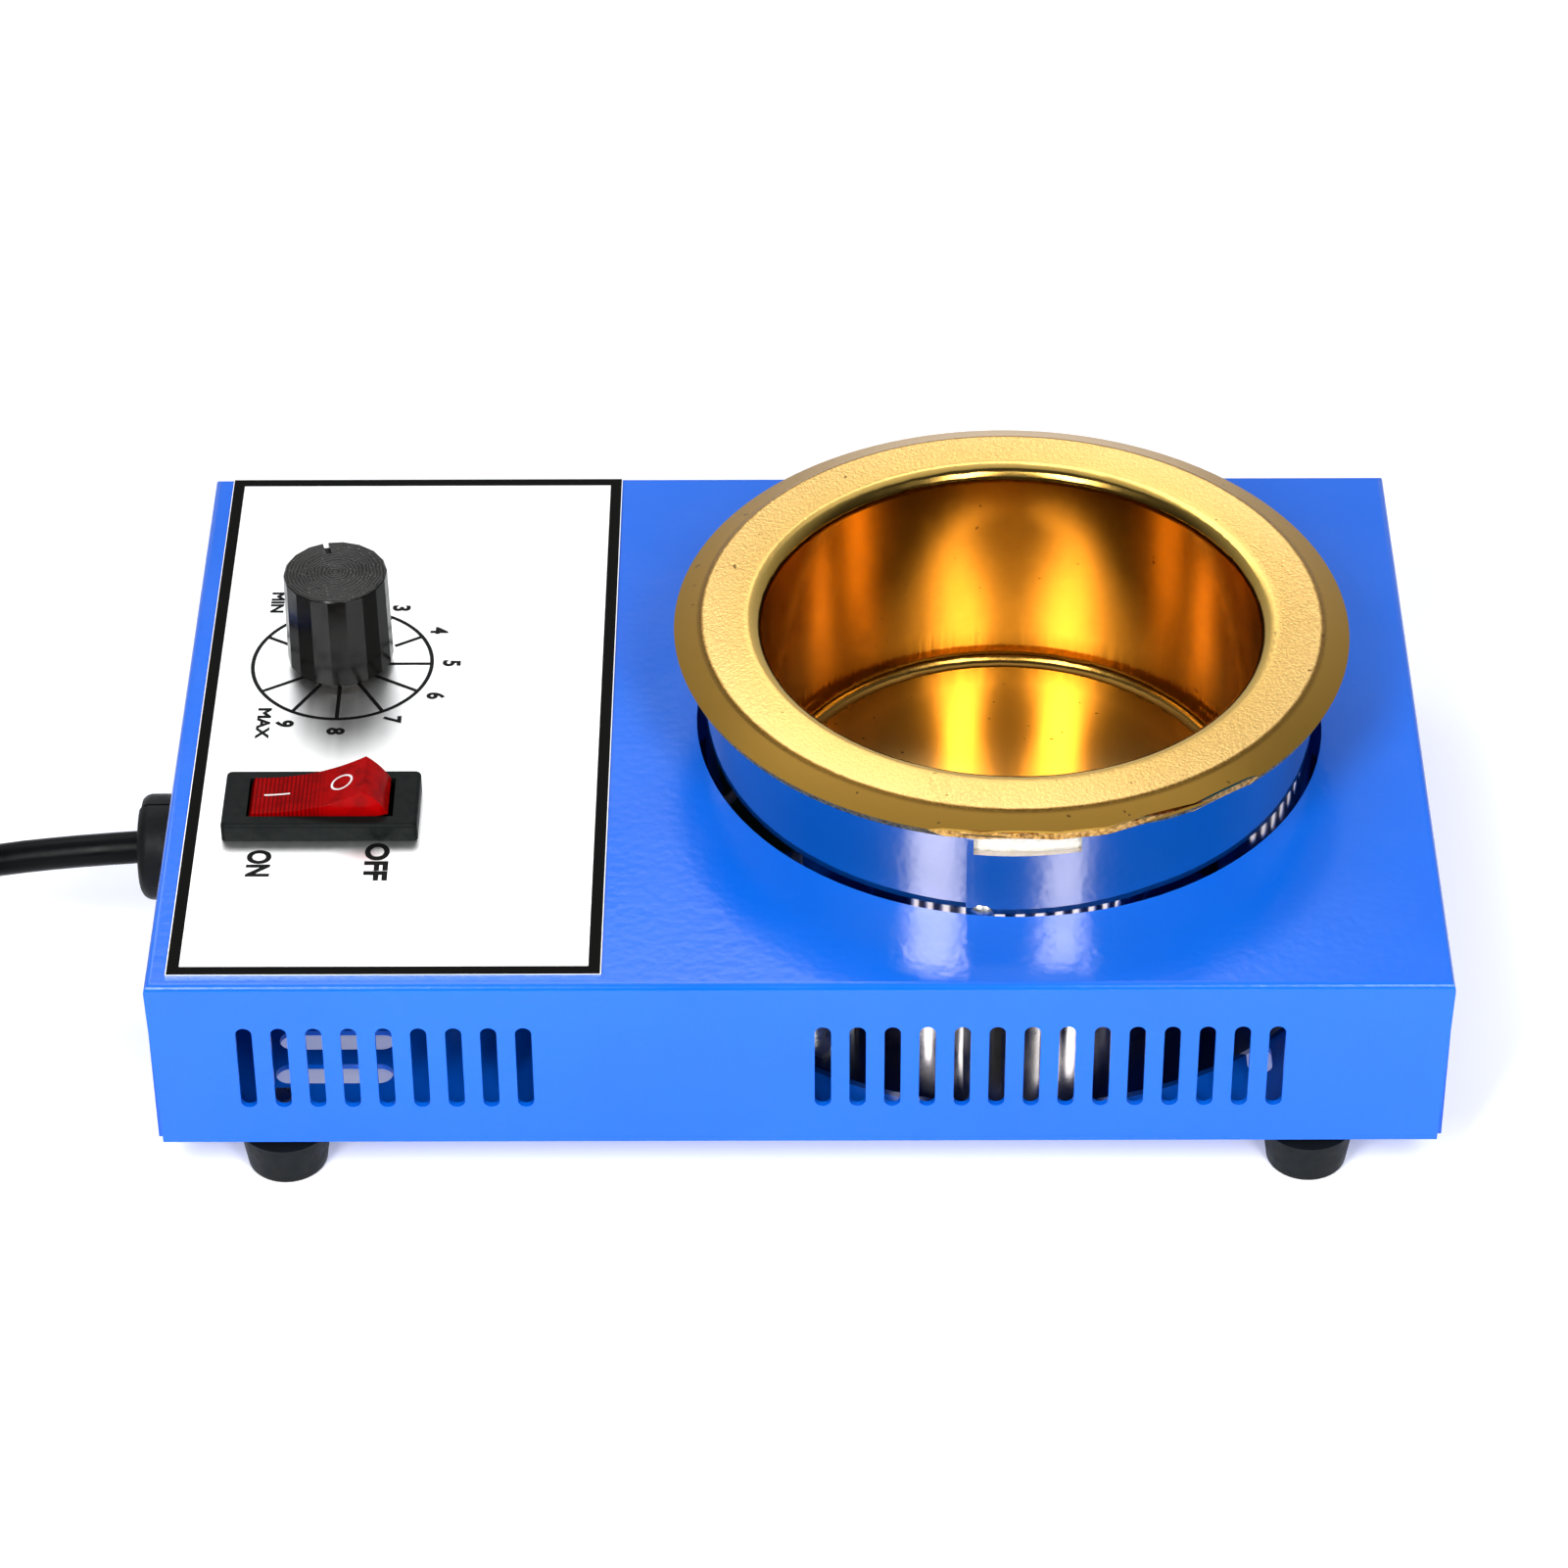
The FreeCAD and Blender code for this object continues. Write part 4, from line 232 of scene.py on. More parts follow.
def ramp(made, factor, *stops):
    """Turns a factor into a colour or a grey through (place, value) stops."""
    ladder = add(made, "ShaderNodeValToRGB")
    elements = ladder.color_ramp.elements
    while len(elements) < len(stops):
        elements.new(0.5)
    for element, (position, shade) in zip(elements, stops):
        element.position = position
        element.color = (*shade, 1) if isinstance(shade, tuple) else (shade, shade, shade, 1)
    made.node_tree.links.new(factor, ladder.inputs["Fac"])
    return ladder.outputs["Color"]


def into(made, output, socket):
    """Leads an output into a socket of the material's shader."""
    made.node_tree.links.new(output, made.node_tree.nodes["Principled BSDF"].inputs[socket])


def uneven_gloss(made, low, high, scale, detail, stretch=(1, 1, 1)):
    """Lets the roughness wander between two values; the shader's own number serves viewers without nodes."""
    into(made, ramp(made, noise(made, scale, detail, stretch), (0.3, low), (0.7, high)), "Roughness")


def emboss(made, height, depth):
    """Raises the surface by a grey height, to this depth in metres."""
    bump = add(made, "ShaderNodeBump")
    bump.inputs["Distance"].default_value = depth
    bump.inputs["Strength"].default_value = 1.0
    made.node_tree.links.new(height, bump.inputs["Height"])
    into(made, bump.outputs["Normal"], "Normal")


cord_pvc = surface("cord_pvc", (0.002, 0.0025, 0.003), roughness=0.34, Specular_IOR_Level=0.08)
uneven_gloss(cord_pvc, 0.28, 0.46, scale=160, detail=4)
emboss(cord_pvc, noise(cord_pvc, 420, 3), 0.00006)
cord_curve.materials.append(cord_pvc)
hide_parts("cord_run", "cord_coil", "cord_tail")
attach(mains_cord, "housing")


# The plug is moulded on the cord in one black PVC piece with a tapered sleeve, and has three flat brass
# blades. The gland is a two-part nylon clamp in the left flap, held inside by a ring.
def finish_node(name, material, angle=32):
    """Joins a CAD piece's loose triangles, shades its curves smooth and gives it its material."""
    node = nodes[name]
    node.data.materials.clear()
    node.data.materials.append(material)
    node.data.polygons.foreach_set("use_smooth", [True] * len(node.data.polygons))
    weld = node.modifiers.new("weld", "WELD")
    weld.merge_threshold = 0.000002
    split = node.modifiers.new("split", "EDGE_SPLIT")
    split.split_angle = math.radians(angle)
    even = node.modifiers.new("even", "WEIGHTED_NORMAL")
    even.weight = 100


plug_pvc = surface("plug_pvc", (0.007, 0.0075, 0.008), roughness=0.42, Specular_IOR_Level=0.25)
uneven_gloss(plug_pvc, 0.36, 0.52, scale=240, detail=4)
emboss(plug_pvc, noise(plug_pvc, 1500, 3), 0.00005)
for name in ("plug_body", "plug_relief"):
    finish_node(name, plug_pvc)

plug_brass = surface("plug_brass", (0.78, 0.57, 0.25), metallic=1.0, roughness=0.3)
uneven_gloss(plug_brass, 0.22, 0.4, scale=300, detail=4, stretch=(1, 1, 0.1))
finish_node("plug_pins", plug_brass)

gland_nylon = surface("gland_nylon", (0.0048, 0.006, 0.0065), roughness=0.5, Specular_IOR_Level=0.14)
uneven_gloss(gland_nylon, 0.42, 0.6, scale=300, detail=5)
emboss(gland_nylon, noise(gland_nylon, 1200, 4), 0.00006)
for name in ("cord_gland", "gland_lock"):
    finish_node(name, gland_nylon)


# The cover and the tray are folded from steel sheet and sprayed with blue gloss enamel, which has a fine
# orange peel. Inside the cover the paint is coloured dark as painted shade, for the shade within the box.
def blend_of(made, factor, first, second):
    """A colour between two others, by a factor."""
    mixed = add(made, "ShaderNodeMix", data_type="RGBA")
    for socket, given in (("Factor_Float", factor), ("A_Color", first), ("B_Color", second)):
        target = next(one for one in mixed.inputs if one.identifier == socket)
        if isinstance(given, tuple):
            target.default_value = (*given, 1)
        else:
            made.node_tree.links.new(given, target)
    return next(one for one in mixed.outputs if one.identifier == "Result_Color")


def combine(made, operation, first, second):
    """One number worked out from two."""
    sums = add(made, "ShaderNodeMath", operation=operation)
    for socket, given in zip(sums.inputs, (first, second)):
        if isinstance(given, (int, float)):
            socket.default_value = given
        else:
            made.node_tree.links.new(given, socket)
    return sums.outputs[0]


def product(made, *factors):
    """The factors multiplied with one another."""
    result = factors[0]
    for factor in factors[1:]:
        result = combine(made, "MULTIPLY", result, factor)
    return result


def parts_of_place(made, middle=(0, 0, 0)):
    """The X, Y and Z of the piece's own coordinates, measured from a middle."""
    parts = add(made, "ShaderNodeSeparateXYZ")
    made.node_tree.links.new(place_on(made, middle=middle), parts.inputs["Vector"])
    return parts.outputs


def inside_box(made, low, high, margin, axes="XYZ"):
    """1 where the piece lies more than a margin inside a box along these axes, and 0 elsewhere."""
    offsets = parts_of_place(made, tuple((low + high) / 2))
    checks = []
    for axis, half in zip(axes, (high - low) / 2):
        away = combine(made, "ABSOLUTE", offsets[axis], 0)
        checks.append(combine(made, "LESS_THAN", away, half - margin))
    return product(made, *checks)


blue_enamel = surface("blue_enamel", (0.001, 0.128, 0.72), roughness=0.2, Specular_IOR_Level=0.42)
outer_paint = ramp(
    blue_enamel,
    noise(blue_enamel, 25, 4),
    (0.3, (0.001, 0.118, 0.70)),
    (0.7, (0.001, 0.132, 0.74)),
)
# Painted shade: inside the cover the paint is coloured dark navy, standing in for the shade within the box.
inside_painted_shade = (0.001, 0.012, 0.10)
sheet_depth = 0.0013
within_cover = inside_box(blue_enamel, *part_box("top_cover"), sheet_depth)
into(blue_enamel, blend_of(blue_enamel, within_cover, outer_paint, inside_painted_shade), "Base Color")
uneven_gloss(blue_enamel, 0.16, 0.25, scale=60, detail=5)
emboss(blue_enamel, noise(blue_enamel, 650, 1), 0.00004)
for name in ("top_cover", "bottom_plate", "earth_tag"):
    finish_node(name, blue_enamel)


# The feet are turned from black rubber, each with a neck under the tray, and are a little narrower at the
# table. A screw in a recess holds each of them.
foot_rubber = surface("foot_rubber", (0.006, 0.008, 0.009), roughness=0.55, Specular_IOR_Level=0.14)
uneven_gloss(foot_rubber, 0.48, 0.66, scale=400, detail=5)
emboss(foot_rubber, noise(foot_rubber, 900, 4), 0.00005)
for corner in ("front_left", "front_right", "rear_left", "rear_right"):
    finish_node("foot_" + corner, foot_rubber)


# The control board stands on nylon spacers beside the bath, with a dimmer's parts on it and coloured leads
# between them. All of it shows only through the slots.
inner_finishes = {
    "circuit_board": surface("board_green", (0.03, 0.16, 0.07), roughness=0.4),
    "board_standoffs": surface("nylon", (0.8, 0.8, 0.76), roughness=0.5),
    "heat_sink": surface("sink_aluminium", (0.75, 0.75, 0.76), metallic=1.0, roughness=0.35),
    "triac": surface("package_black", (0.02, 0.02, 0.02), roughness=0.5),
    "capacitor": surface("capacitor_yellow", (0.62, 0.38, 0.05), roughness=0.35),
    "resistors": surface("resistor_tan", (0.45, 0.32, 0.18), roughness=0.4),
    "terminal_block": surface("block_green", (0.03, 0.22, 0.08), roughness=0.5),
    "heater_leads": surface("glass_sleeving", (0.70, 0.67, 0.58), roughness=0.8),
    "mains_leads": surface("lead_blue", (0.03, 0.08, 0.30), roughness=0.5),
    "control_leads": surface("lead_red", (0.35, 0.02, 0.02), roughness=0.5),
}
gloss_spread = 0.15
for name, finish in inner_finishes.items():
    base = finish.node_tree.nodes["Principled BSDF"].inputs["Roughness"].default_value
    uneven_gloss(finish, base * (1 - gloss_spread), base * (1 + gloss_spread), scale=600, detail=3)
    finish_node(name, finish)


# Screws, nuts, angles, the stud, the heater's strap and the control's washer and shaft are zinc-plated steel.
# The heat shield under the bath is plain sheet.
zinc = surface("zinc", (0.70, 0.71, 0.70), metallic=1.0, roughness=0.32)
uneven_gloss(zinc, 0.25, 0.42, scale=500, detail=4)
for name in (
    "foot_screws", "foot_nuts", "cover_screws", "collar_brackets", "bracket_screws", "bracket_nuts",
    "bath_stud", "stud_nut", "heater_strap", "strap_screw", "control_washer", "control_shaft",
):
    finish_node(name, zinc)

shield_steel = surface("shield_steel", (0.30, 0.31, 0.32), metallic=1.0, roughness=0.12)
uneven_gloss(shield_steel, 0.08, 0.2, scale=70, detail=4)
finish_node("heat_shield", shield_steel)


# The insulation round and under the bath is cream mineral wool, and a cream edge of it shows under the lip.
# The heater that it wraps is a steel band, dulled by the heat.
wool = surface("wool", (0.90, 0.88, 0.80), roughness=0.95)
wool_shade = ramp(wool, noise(wool, 900, 6), (0.3, (0.86, 0.82, 0.72)), (0.7, (0.97, 0.96, 0.90)))
into(wool, wool_shade, "Base Color")
emboss(wool, noise(wool, 1200, 6), 0.0004)
for name in ("wool_sleeve", "wool_pad"):
    finish_node(name, wool)

heater_steel = surface("heater_steel", (0.42, 0.38, 0.33), metallic=1.0, roughness=0.45)
uneven_gloss(heater_steel, 0.35, 0.6, scale=200, detail=4)
finish_node("heater_band", heater_steel)


# The bath is drawn from one sheet and gold coloured all over. The flat of its rim is satin with a fine grain
# and scuffs, its wall is smooth with draw marks at the foot, and the trimmed edge of its lip is rough.
def reach_from(made, middle, radius):
    """Distance from an upright axis, as a share of a radius."""
    length = add(made, "ShaderNodeVectorMath", operation="LENGTH")
    made.node_tree.links.new(place_on(made, (1 / radius, 1 / radius, 0), middle), length.inputs[0])
    return length.outputs["Value"]


def along_axis(made, axis, low, high):
    """Goes from 0 to 1 between two places on an axis of the piece."""
    reach = add(made, "ShaderNodeMapRange")
    reach.inputs["From Min"].default_value = low
    reach.inputs["From Max"].default_value = high
    made.node_tree.links.new(parts_of_place(made)[axis], reach.inputs["Value"])
    return reach.outputs["Result"]


lip_radius, lip_drop, cut_share, wall_foot_height = 0.054, 0.0019, 0.965, 0.012
bath_low, bath_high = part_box("solder_bath")
lip_edge = bath_high.z - lip_drop
gold = surface("gold", (0.90, 0.58, 0.17), metallic=1.0, roughness=0.25, Anisotropic=0.72)
from_axis = reach_from(gold, pot_middle, lip_radius)
on_flat = ramp(gold, from_axis, (0.77, 0.0), (0.80, 1.0), (0.915, 1.0), (0.93, 0.0))

# Highlights are drawn out across the grain: outwards on the flat of the rim, and elsewhere round the axis.
outward = place_on(gold, middle=pot_middle)
around = add(gold, "ShaderNodeVectorMath", operation="CROSS_PRODUCT")
around.inputs[0].default_value = (0, 0, 1)
gold.node_tree.links.new(outward, around.inputs[1])
into(gold, blend_of(gold, on_flat, around.outputs["Vector"], outward), "Tangent")

# The colours from the axis outwards: the floor, the wall, the rounding, the flat of the rim and the lip.
# The bath is one gold, but the wall, a thin line at the ridge and the lip are darkened as painted shade.
edge_waver = product(gold, noise(gold, 700, 4), 0.006)
zone_gold_and_shade = ramp(
    gold,
    combine(gold, "ADD", from_axis, edge_waver),
    (0.60, (0.88, 0.53, 0.17)),
    (0.735, (0.38, 0.205, 0.035)),
    (0.765, (0.60, 0.40, 0.10)),
    (0.800, (0.96, 0.61, 0.19)),
    (0.915, (1.00, 0.65, 0.23)),
    (0.919, (0.22, 0.11, 0.02)),
    (0.928, (0.30, 0.16, 0.03)),
    (0.938, (0.46, 0.26, 0.05)),
    (1.0, (0.41, 0.23, 0.04)),
)
scuff_brown, speck_brown = (0.62, 0.38, 0.11), (0.12, 0.06, 0.015)
worn = ramp(gold, noise(gold, 45, 2), (0.40, 0.25), (0.62, 1.0))
grain = ramp(gold, noise(gold, 2600, 3), (0.42, 0.0), (0.62, 0.55))
scuffs = product(gold, worn, grain, on_flat)
specks = ramp(gold, noise(gold, 620, 1), (0.775, 0.0), (0.79, 0.8))
scuffed = blend_of(gold, scuffs, zone_gold_and_shade, scuff_brown)
stained = blend_of(gold, specks, scuffed, speck_brown)
above_edge = along_axis(gold, "Z", lip_edge - 0.0002, lip_edge)
below_edge = combine(gold, "SUBTRACT", 1, above_edge)
cut_edge = product(gold, below_edge, combine(gold, "GREATER_THAN", from_axis, cut_share))
cut_gold = ramp(gold, noise(gold, 1500, 3), (0.35, (0.38, 0.17, 0.03)), (0.62, (0.95, 0.58, 0.17)))
into(gold, blend_of(gold, cut_edge, stained, cut_gold), "Base Color")

zone_satin = ramp(
    gold,
    from_axis,
    (0.66, 0.27),
    (0.74, 0.12),
    (0.765, 0.15),
    (0.80, 0.36),
    (0.91, 0.36),
    (0.93, 0.2),
    (1.0, 0.2),
)
uneven_satin = combine(gold, "ADD", zone_satin, product(gold, noise(gold, 300, 3), 0.06))
into(gold, combine(gold, "ADD", uneven_satin, product(gold, cut_edge, 0.35)), "Roughness")

flat_grain = product(gold, on_flat, noise(gold, 2000, 4))
up_the_wall = along_axis(gold, "Z", bath_low.z, bath_low.z + wall_foot_height)
wall_foot = ramp(gold, up_the_wall, (0.2, 1.0), (0.8, 0.0))
on_wall = ramp(gold, from_axis, (0.725, 0.0), (0.738, 1.6), (0.76, 0.0))
upright_lines = noise(gold, 1, 2, (900, 900, 60))
draw_marks = product(gold, wall_foot, on_wall, upright_lines)
emboss(gold, combine(gold, "ADD", flat_grain, draw_marks), 0.00009)
finish_node("solder_bath", gold, angle=20)


# The lip was trimmed by hand at the front. The cut left a thin ragged burr of the same metal under its edge,
# duller than the gold above it.
def flat_mesh(name, points, faces):
    """An object of these points and faces, placed in its mesh."""
    mesh = bpy.data.meshes.new(name)
    mesh.from_pydata([tuple(point) for point in points], [], faces)
    made = bpy.data.objects.new(name, mesh)
    bpy.context.scene.collection.objects.link(made)
    return made


burr_gold = surface("burr_gold", (0.45, 0.22, 0.06), metallic=1.0, roughness=0.35)
burr_dark, burr_bright = (0.20, 0.08, 0.02), (0.85, 0.48, 0.13)
burr_shade = ramp(burr_gold, noise(burr_gold, 1500, 3), (0.35, burr_dark), (0.65, burr_bright))
into(burr_gold, burr_shade, "Base Color")
burr_start, burr_end, burr_steps = -106, -70, 72
burr_reach, burr_length, burr_sheet = 0.0531, 0.0011, 0.00015
burr_points = []
for step in range(burr_steps + 1):
    turn = math.radians(burr_start + (burr_end - burr_start) * step / burr_steps)
    ragged = 0.45 + 0.3 * math.sin(step * 1.7) + 0.25 * math.sin(step * 0.61 + 1)
    hang = burr_length * max(0.05, ragged) * math.sin(math.pi * step / burr_steps) ** 0.5
    for drop, out in ((0, 0), (hang, burr_sheet * math.sin(step * 0.9))):
        reach = burr_reach + out
        burr_points.append((pot_middle[0] + reach * math.cos(turn), reach * math.sin(turn), lip_edge - drop))
burr_faces = [(2 * n, 2 * n + 1, 2 * n + 3, 2 * n + 2) for n in range(burr_steps)]
lip_burr = flat_mesh("lip_burr", burr_points, burr_faces)
burr_wall = lip_burr.modifiers.new("wall", "SOLIDIFY")
burr_wall.thickness = burr_sheet
lip_burr.data.materials.append(burr_gold)
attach(lip_burr, "housing")


# The collar is rolled round the bath from sheet that is polished like a mirror, with a faint waviness. Its
# ends lap at the front, where two steel rivets hold them.
mirror_steel = surface("mirror_steel", (0.66, 0.60, 0.58), metallic=1.0, roughness=0.07)
uneven_gloss(mirror_steel, 0.045, 0.10, scale=90, detail=4)
emboss(mirror_steel, noise(mirror_steel, 130, 2), 0.00003)
finish_node("collar", mirror_steel)

rivet_steel = surface("rivet_steel", (0.75, 0.75, 0.74), metallic=1.0, roughness=0.25)
uneven_gloss(rivet_steel, 0.2, 0.35, scale=900, detail=3)
finish_node("seam_rivets", rivet_steel)


# The faceplate is a thin brushed aluminium sheet with a clear finish, printed with a black border, the scale
# of the knob and the words of the switch. Its cut sides are bare.
border_width, bare_edge = 0.0020, 0.00012
border_black, brushed = (0.0025, 0.0023, 0.002), (0.96, 0.96, 0.96)
border_roughness = (0.6, 0.6, 0.6)
plate_low, plate_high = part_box("faceplate")
plate_metal = (0.92, 0.93, 0.94)
plate_print = surface("plate_print", plate_metal, metallic=1.0, roughness=0.33, Specular_IOR_Level=0.05)
field = inside_box(plate_print, plate_low, plate_high, border_width, "XY")
face = inside_box(plate_print, plate_low, plate_high, bare_edge, "XY")
bare_metal = combine(plate_print, "MAXIMUM", field, combine(plate_print, "SUBTRACT", 1, face))
into(plate_print, ramp(plate_print, bare_metal, (0.0, border_black), (1.0, brushed)), "Base Color")
into(plate_print, bare_metal, "Metallic")
brush_lines = noise(plate_print, 900, 2, (1, 0.02, 1))
brushed_roughness = ramp(plate_print, brush_lines, (0.3, 0.36), (0.7, 0.40))
into(plate_print, blend_of(plate_print, bare_metal, border_roughness, brushed_roughness), "Roughness")
emboss(plate_print, brush_lines, 0.000001)
finish_node("faceplate", plate_print)

# The scale is a ring with a line inwards from it at every 30 degrees. One of the lines is shorter.
dial_middle = Vector((-0.0750, 0.0137, plate_high.z + 0.00003))
dial_radius, dial_steps, line_width = 0.0147, 96, 0.00066
line_start, short_line_start, short_line_turn = 0.006, 0.00965, 30
print_ink = surface("print_ink", (0.004, 0.004, 0.004), roughness=0.5, Specular_IOR_Level=0.1)
uneven_gloss(print_ink, 0.45, 0.6, scale=2500, detail=3)


def printed(mesh_object):
    """Ink on the faceplate: takes the ink and goes with the housing."""
    mesh_object.data.materials.clear()
    mesh_object.data.materials.append(print_ink)
    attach(mesh_object, "housing")


def ring_band(middle, radius, width, steps):
    """Points and faces of a flat ring, whose line is this wide."""
    points, faces = [], []
    for step in range(steps):
        turn = 2 * math.pi * step / steps
        direction = Vector((math.cos(turn), math.sin(turn), 0))
        points += [middle + direction * (radius + side * width / 2) for side in (-1, 1)]
        after = (step + 1) % steps
        faces.append((2 * step, 2 * step + 1, 2 * after + 1, 2 * after))
    return points, faces


dial_points, dial_faces = ring_band(dial_middle, dial_radius, line_width, dial_steps)
line_end = dial_radius - line_width / 2
for turn in range(150, -151, -30):
    start = short_line_start if turn == short_line_turn else line_start
    along = Vector((math.cos(math.radians(turn)), math.sin(math.radians(turn)), 0))
    aside = Vector((-along.y, along.x, 0)) * line_width / 2
    first = len(dial_points)
    for reach, side in ((start, -1), (line_end, -1), (line_end, 1), (start, 1)):
        dial_points.append(dial_middle + along * reach + aside * side)
    dial_faces.append((first, first + 1, first + 2, first + 3))
printed(flat_mesh("dial_print", dial_points, dial_faces))

# Each word or figure with its middle, the height of its capitals and how wide it runs.
words = [
    ("3", -0.0663, 0.0289, 0.0028, 0.9),
    ("4", -0.0597, 0.0227, 0.0028, 0.9),
    ("5", -0.0572, 0.0138, 0.0028, 0.9),
    ("6", -0.0594, 0.0051, 0.0028, 0.9),
    ("7", -0.0661, -0.0011, 0.0028, 0.9),
    ("8", -0.0751, -0.0042, 0.0028, 0.9),
    ("9", -0.0835, -0.0022, 0.0028, 0.9),
    ("MIN", -0.0870, 0.0306, 0.0021, 1.12),
    ("MAX", -0.0869, -0.0019, 0.0021, 1.27),
    ("ON", -0.0850, -0.0378, 0.0036, 0.84),
    ("OFF", -0.0665, -0.0374, 0.0036, 1.05),
]
# Their capitals as a share of the font's size, the weight added to each stroke, and how flat the ink lies.
capital_share, bold, ink_depth = 0.729, 0.043, 0.1
for word, x, y, height, width in words:
    bpy.ops.object.select_all(action="DESELECT")
    bpy.ops.object.text_add(location=(0, 0, 0))
    letters = bpy.context.object
    letters.name = f"print_{word.lower()}"
    letters.data.body = word
    letters.data.align_x = "CENTER"
    letters.data.align_y = "CENTER"
    letters.data.size = height / capital_share
    letters.data.bevel_depth = bold * letters.data.size
    letters.data.bevel_resolution = 0
    bpy.ops.object.convert(target="MESH")
    letters = bpy.context.object
    turned = Matrix.Rotation(math.radians(-90), 4, "Z") @ Matrix.Diagonal((width, 1, ink_depth, 1))
    letters.data.transform(Matrix.Translation((x, y, dial_middle.z)) @ turned)
    printed(letters)


# The switch has a satin black frame and a clear red rocker. Ribs show through the left half of the rocker.
# Its red grows lighter towards the right as painted light through the clear plastic, and is darkened in
# random patches as painted shade for its uneven inner reflections.
switch_plastic = surface("switch_plastic", (0.0045, 0.0065, 0.006), roughness=0.48, Specular_IOR_Level=0.08)
uneven_gloss(switch_plastic, 0.38, 0.55, scale=900, detail=4)
emboss(switch_plastic, noise(switch_plastic, 2500, 3), 0.00003)
finish_node("switch_body", switch_plastic)

rib_pitch, pitch_at_scale_1 = 0.00067, 0.314
rocker_left, rocker_right = -0.088, -0.065
painted_shade_red = (0.12, 0.0002, 0.0004)
rocker_red = surface("rocker_red", (0.34, 0.0006, 0.001), roughness=0.16, IOR=1.49, Specular_IOR_Level=0.03)
ribs = add(rocker_red, "ShaderNodeTexWave", wave_type="BANDS", bands_direction="X")
ribs.inputs["Scale"].default_value = pitch_at_scale_1 / rib_pitch
rocker_red.node_tree.links.new(place_on(rocker_red), ribs.inputs["Vector"])
rib_shade = ramp(
    rocker_red,
    ribs.outputs["Fac"],
    (0.1, (0.105, 0.0002, 0.0004)),
    (0.5, (0.28, 0.0004, 0.0008)),
)
to_the_right = along_axis(rocker_red, "X", rocker_left, rocker_right)
# Painted light: the clear red grows lighter towards the right.
painted_glow_red = ramp(rocker_red, to_the_right, (0.0, (0.21, 0.0003, 0.0006)), (1.0, (0.36, 0.0005, 0.001)))
rib_reach = ramp(rocker_red, to_the_right, (0.45, 1.0), (0.62, 0.0))
# Painted shade: random dark patches in the clear red.
painted_dark_patches = ramp(rocker_red, noise(rocker_red, 420, 2), (0.45, 0.0), (0.68, 0.6))
lit_red = blend_of(rocker_red, rib_reach, painted_glow_red, rib_shade)
into(rocker_red, blend_of(rocker_red, painted_dark_patches, lit_red, painted_shade_red), "Base Color")
uneven_gloss(rocker_red, 0.12, 0.22, scale=500, detail=3)
finish_node("rocker", rocker_red)

# The two marks are printed in white on the rocker, a stroke for on and a ring for off. Each is laid from
# above on the curved top.
mark_white = surface("mark_white", (0.75, 0.70, 0.70), roughness=0.4)
uneven_gloss(mark_white, 0.35, 0.5, scale=3000, detail=2)
mark_width, mark_lift, marks_y, above_rocker = 0.00034, 0.00003, -0.0252, 0.052
stroke_left, stroke_right, stroke_steps = -0.0846, -0.0805, 12
off_middle, off_radius, off_steps = Vector((-0.0722, marks_y, above_rocker)), 0.0016, 40
stroke_points = []
for step in range(stroke_steps + 1):
    x = stroke_left + (stroke_right - stroke_left) * step / stroke_steps
    stroke_points += [(x, marks_y + side * mark_width / 2, above_rocker) for side in (-1, 1)]
stroke_faces = [(2 * n, 2 * n + 2, 2 * n + 3, 2 * n + 1) for n in range(stroke_steps)]
off_points, off_faces = ring_band(off_middle, off_radius, mark_width, off_steps)
for name, points, faces in (("mark_on", stroke_points, stroke_faces), ("mark_off", off_points, off_faces)):
    mark = flat_mesh(name, points, faces)
    wrap = mark.modifiers.new("wrap", "SHRINKWRAP")
    wrap.wrap_method = "PROJECT"
    wrap.use_project_z = True
    wrap.use_negative_direction = True
    wrap.use_positive_direction = False
    wrap.target = nodes["rocker"]
    wrap.offset = mark_lift
    bpy.ops.object.select_all(action="DESELECT")
    mark.select_set(True)
    bpy.context.view_layer.objects.active = mark
    bpy.ops.object.modifier_apply(modifier="wrap")
    mark.data.materials.append(mark_white)
    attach(mark, "rocker")


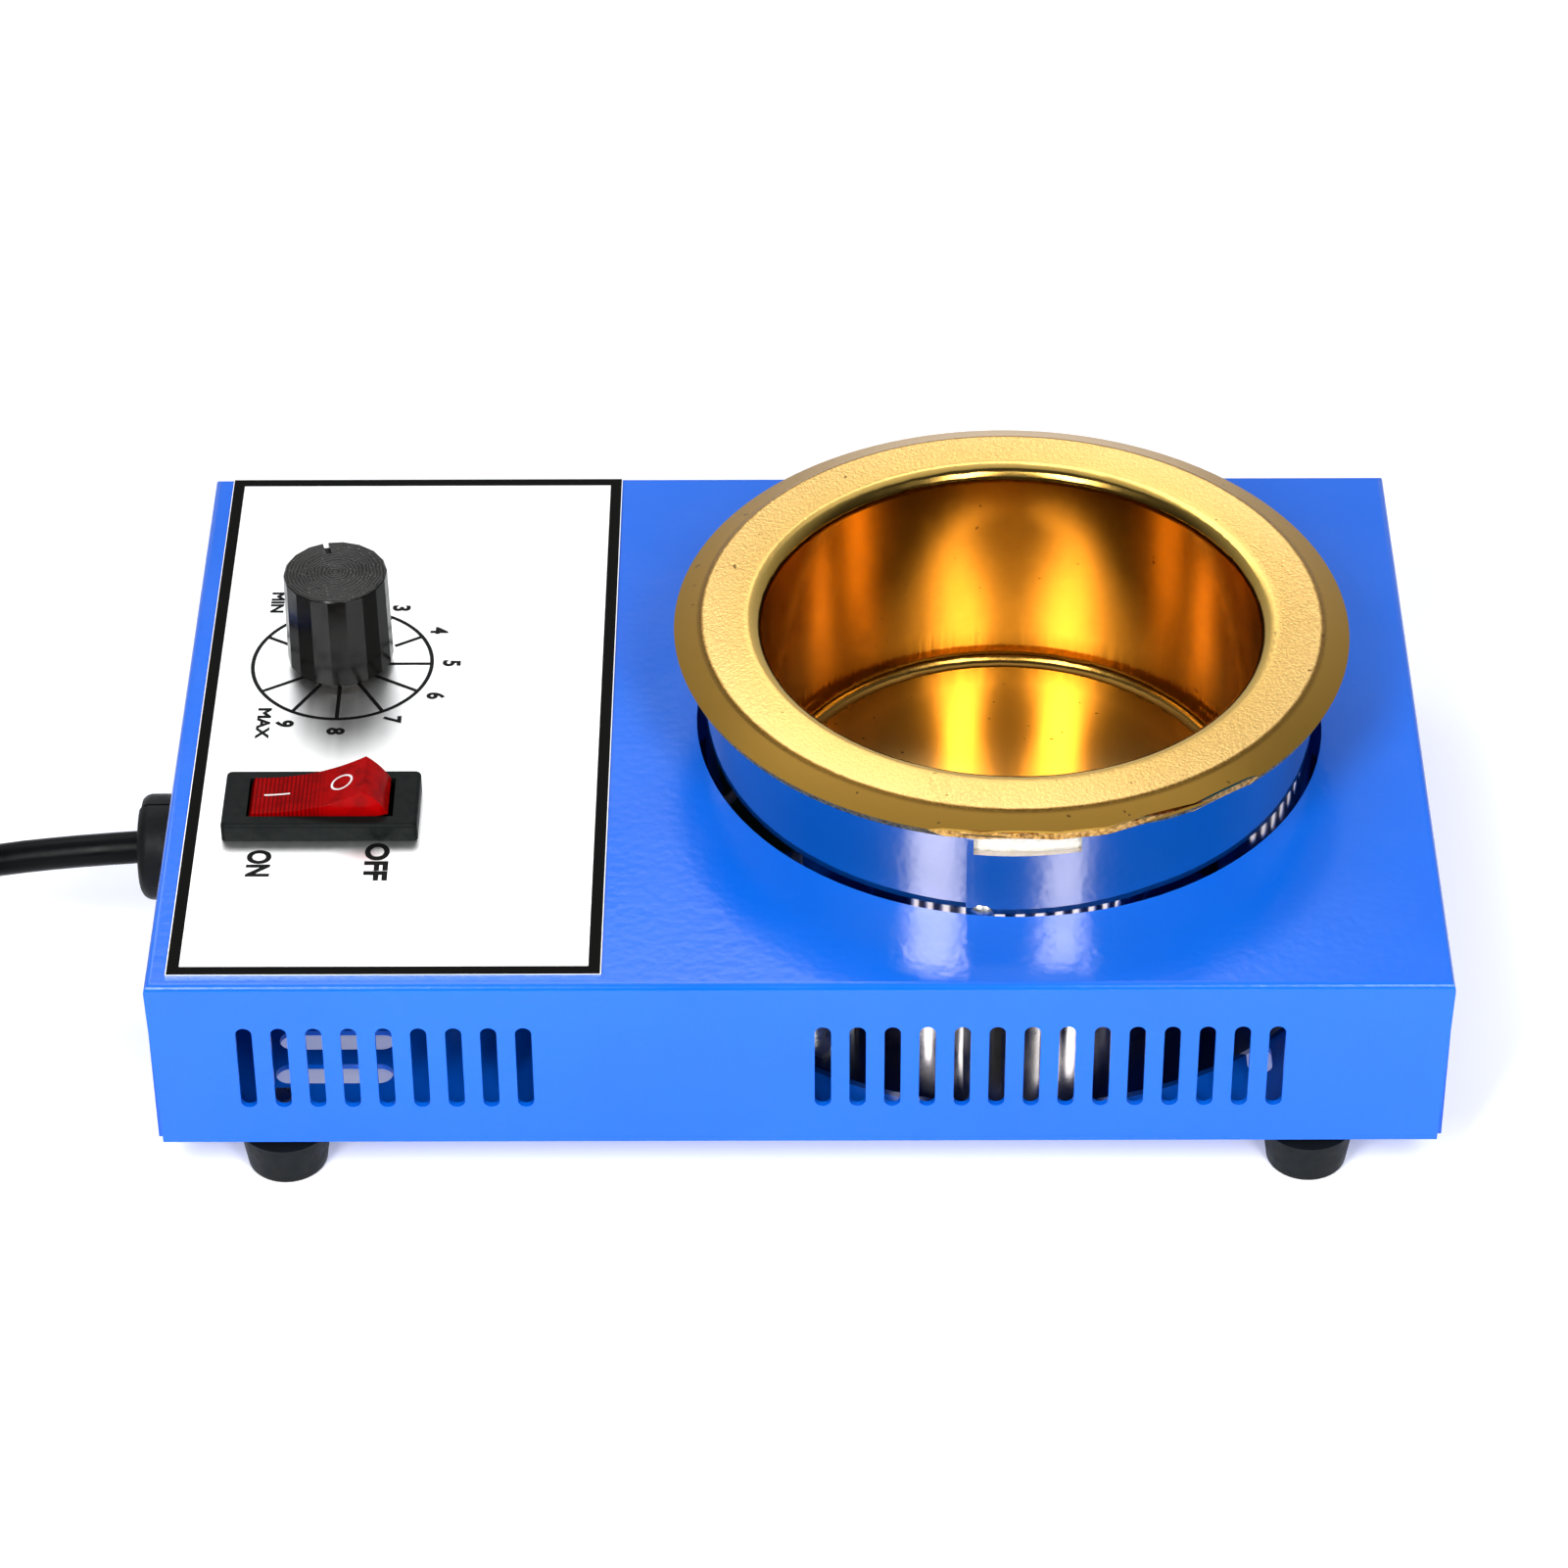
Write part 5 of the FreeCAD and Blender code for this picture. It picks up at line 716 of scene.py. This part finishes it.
# The power control is a round black case under the faceplate. Its bushing, nut and lugs are brass, and so are
# the blades of the switch.
control_case = surface("control_case", (0.03, 0.03, 0.03), roughness=0.6)
uneven_gloss(control_case, 0.5, 0.7, scale=500, detail=3)
finish_node("control_body", control_case)
brass = surface("brass", (0.80, 0.58, 0.26), metallic=1.0, roughness=0.28)
uneven_gloss(brass, 0.2, 0.4, scale=600, detail=3)
for name in ("control_bushing", "control_nut", "control_lugs", "switch_terminals"):
    finish_node(name, brass)


# The knob is moulded in black plastic with flat facets and pushed on the control's shaft. Its top is turned,
# which left fine rings and a few pale specks.
knob_black, ring_grey, speck_grey = (0.0035, 0.0033, 0.003), (0.032, 0.031, 0.029), (0.25, 0.25, 0.25)
top_share = 0.992
knob_low, knob_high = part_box("knob")
knob_middle = tuple((knob_low + knob_high) / 2)
knob_plastic = surface("knob_plastic", knob_black, roughness=0.25, Specular_IOR_Level=0.2)
uneven_gloss(knob_plastic, 0.14, 0.26, scale=500, detail=4)
turned_rings = add(knob_plastic, "ShaderNodeTexWave", wave_type="RINGS", rings_direction="Z")
turned_rings.inputs["Scale"].default_value = 560
turned_rings.inputs["Distortion"].default_value = 6
turned_rings.inputs["Detail"].default_value = 5
knob_plastic.node_tree.links.new(place_on(knob_plastic, middle=knob_middle), turned_rings.inputs["Vector"])
up_the_knob = along_axis(knob_plastic, "Z", knob_low.z, knob_high.z)
top_face = combine(knob_plastic, "GREATER_THAN", up_the_knob, top_share)
ring_height = product(knob_plastic, top_face, turned_rings.outputs["Fac"])
ring_shade = ramp(knob_plastic, ring_height, (0.0, knob_black), (1.0, ring_grey))
top_specks = product(knob_plastic, top_face, noise(knob_plastic, 2600, 2))
whitish = ramp(knob_plastic, top_specks, (0.66, 0.0), (0.72, 0.5))
into(knob_plastic, blend_of(knob_plastic, whitish, ring_shade, speck_grey), "Base Color")
moulded_grain = product(knob_plastic, noise(knob_plastic, 700, 1), 0.2)
emboss(knob_plastic, combine(knob_plastic, "ADD", ring_height, moulded_grain), 0.00002)
finish_node("knob", knob_plastic, angle=15)
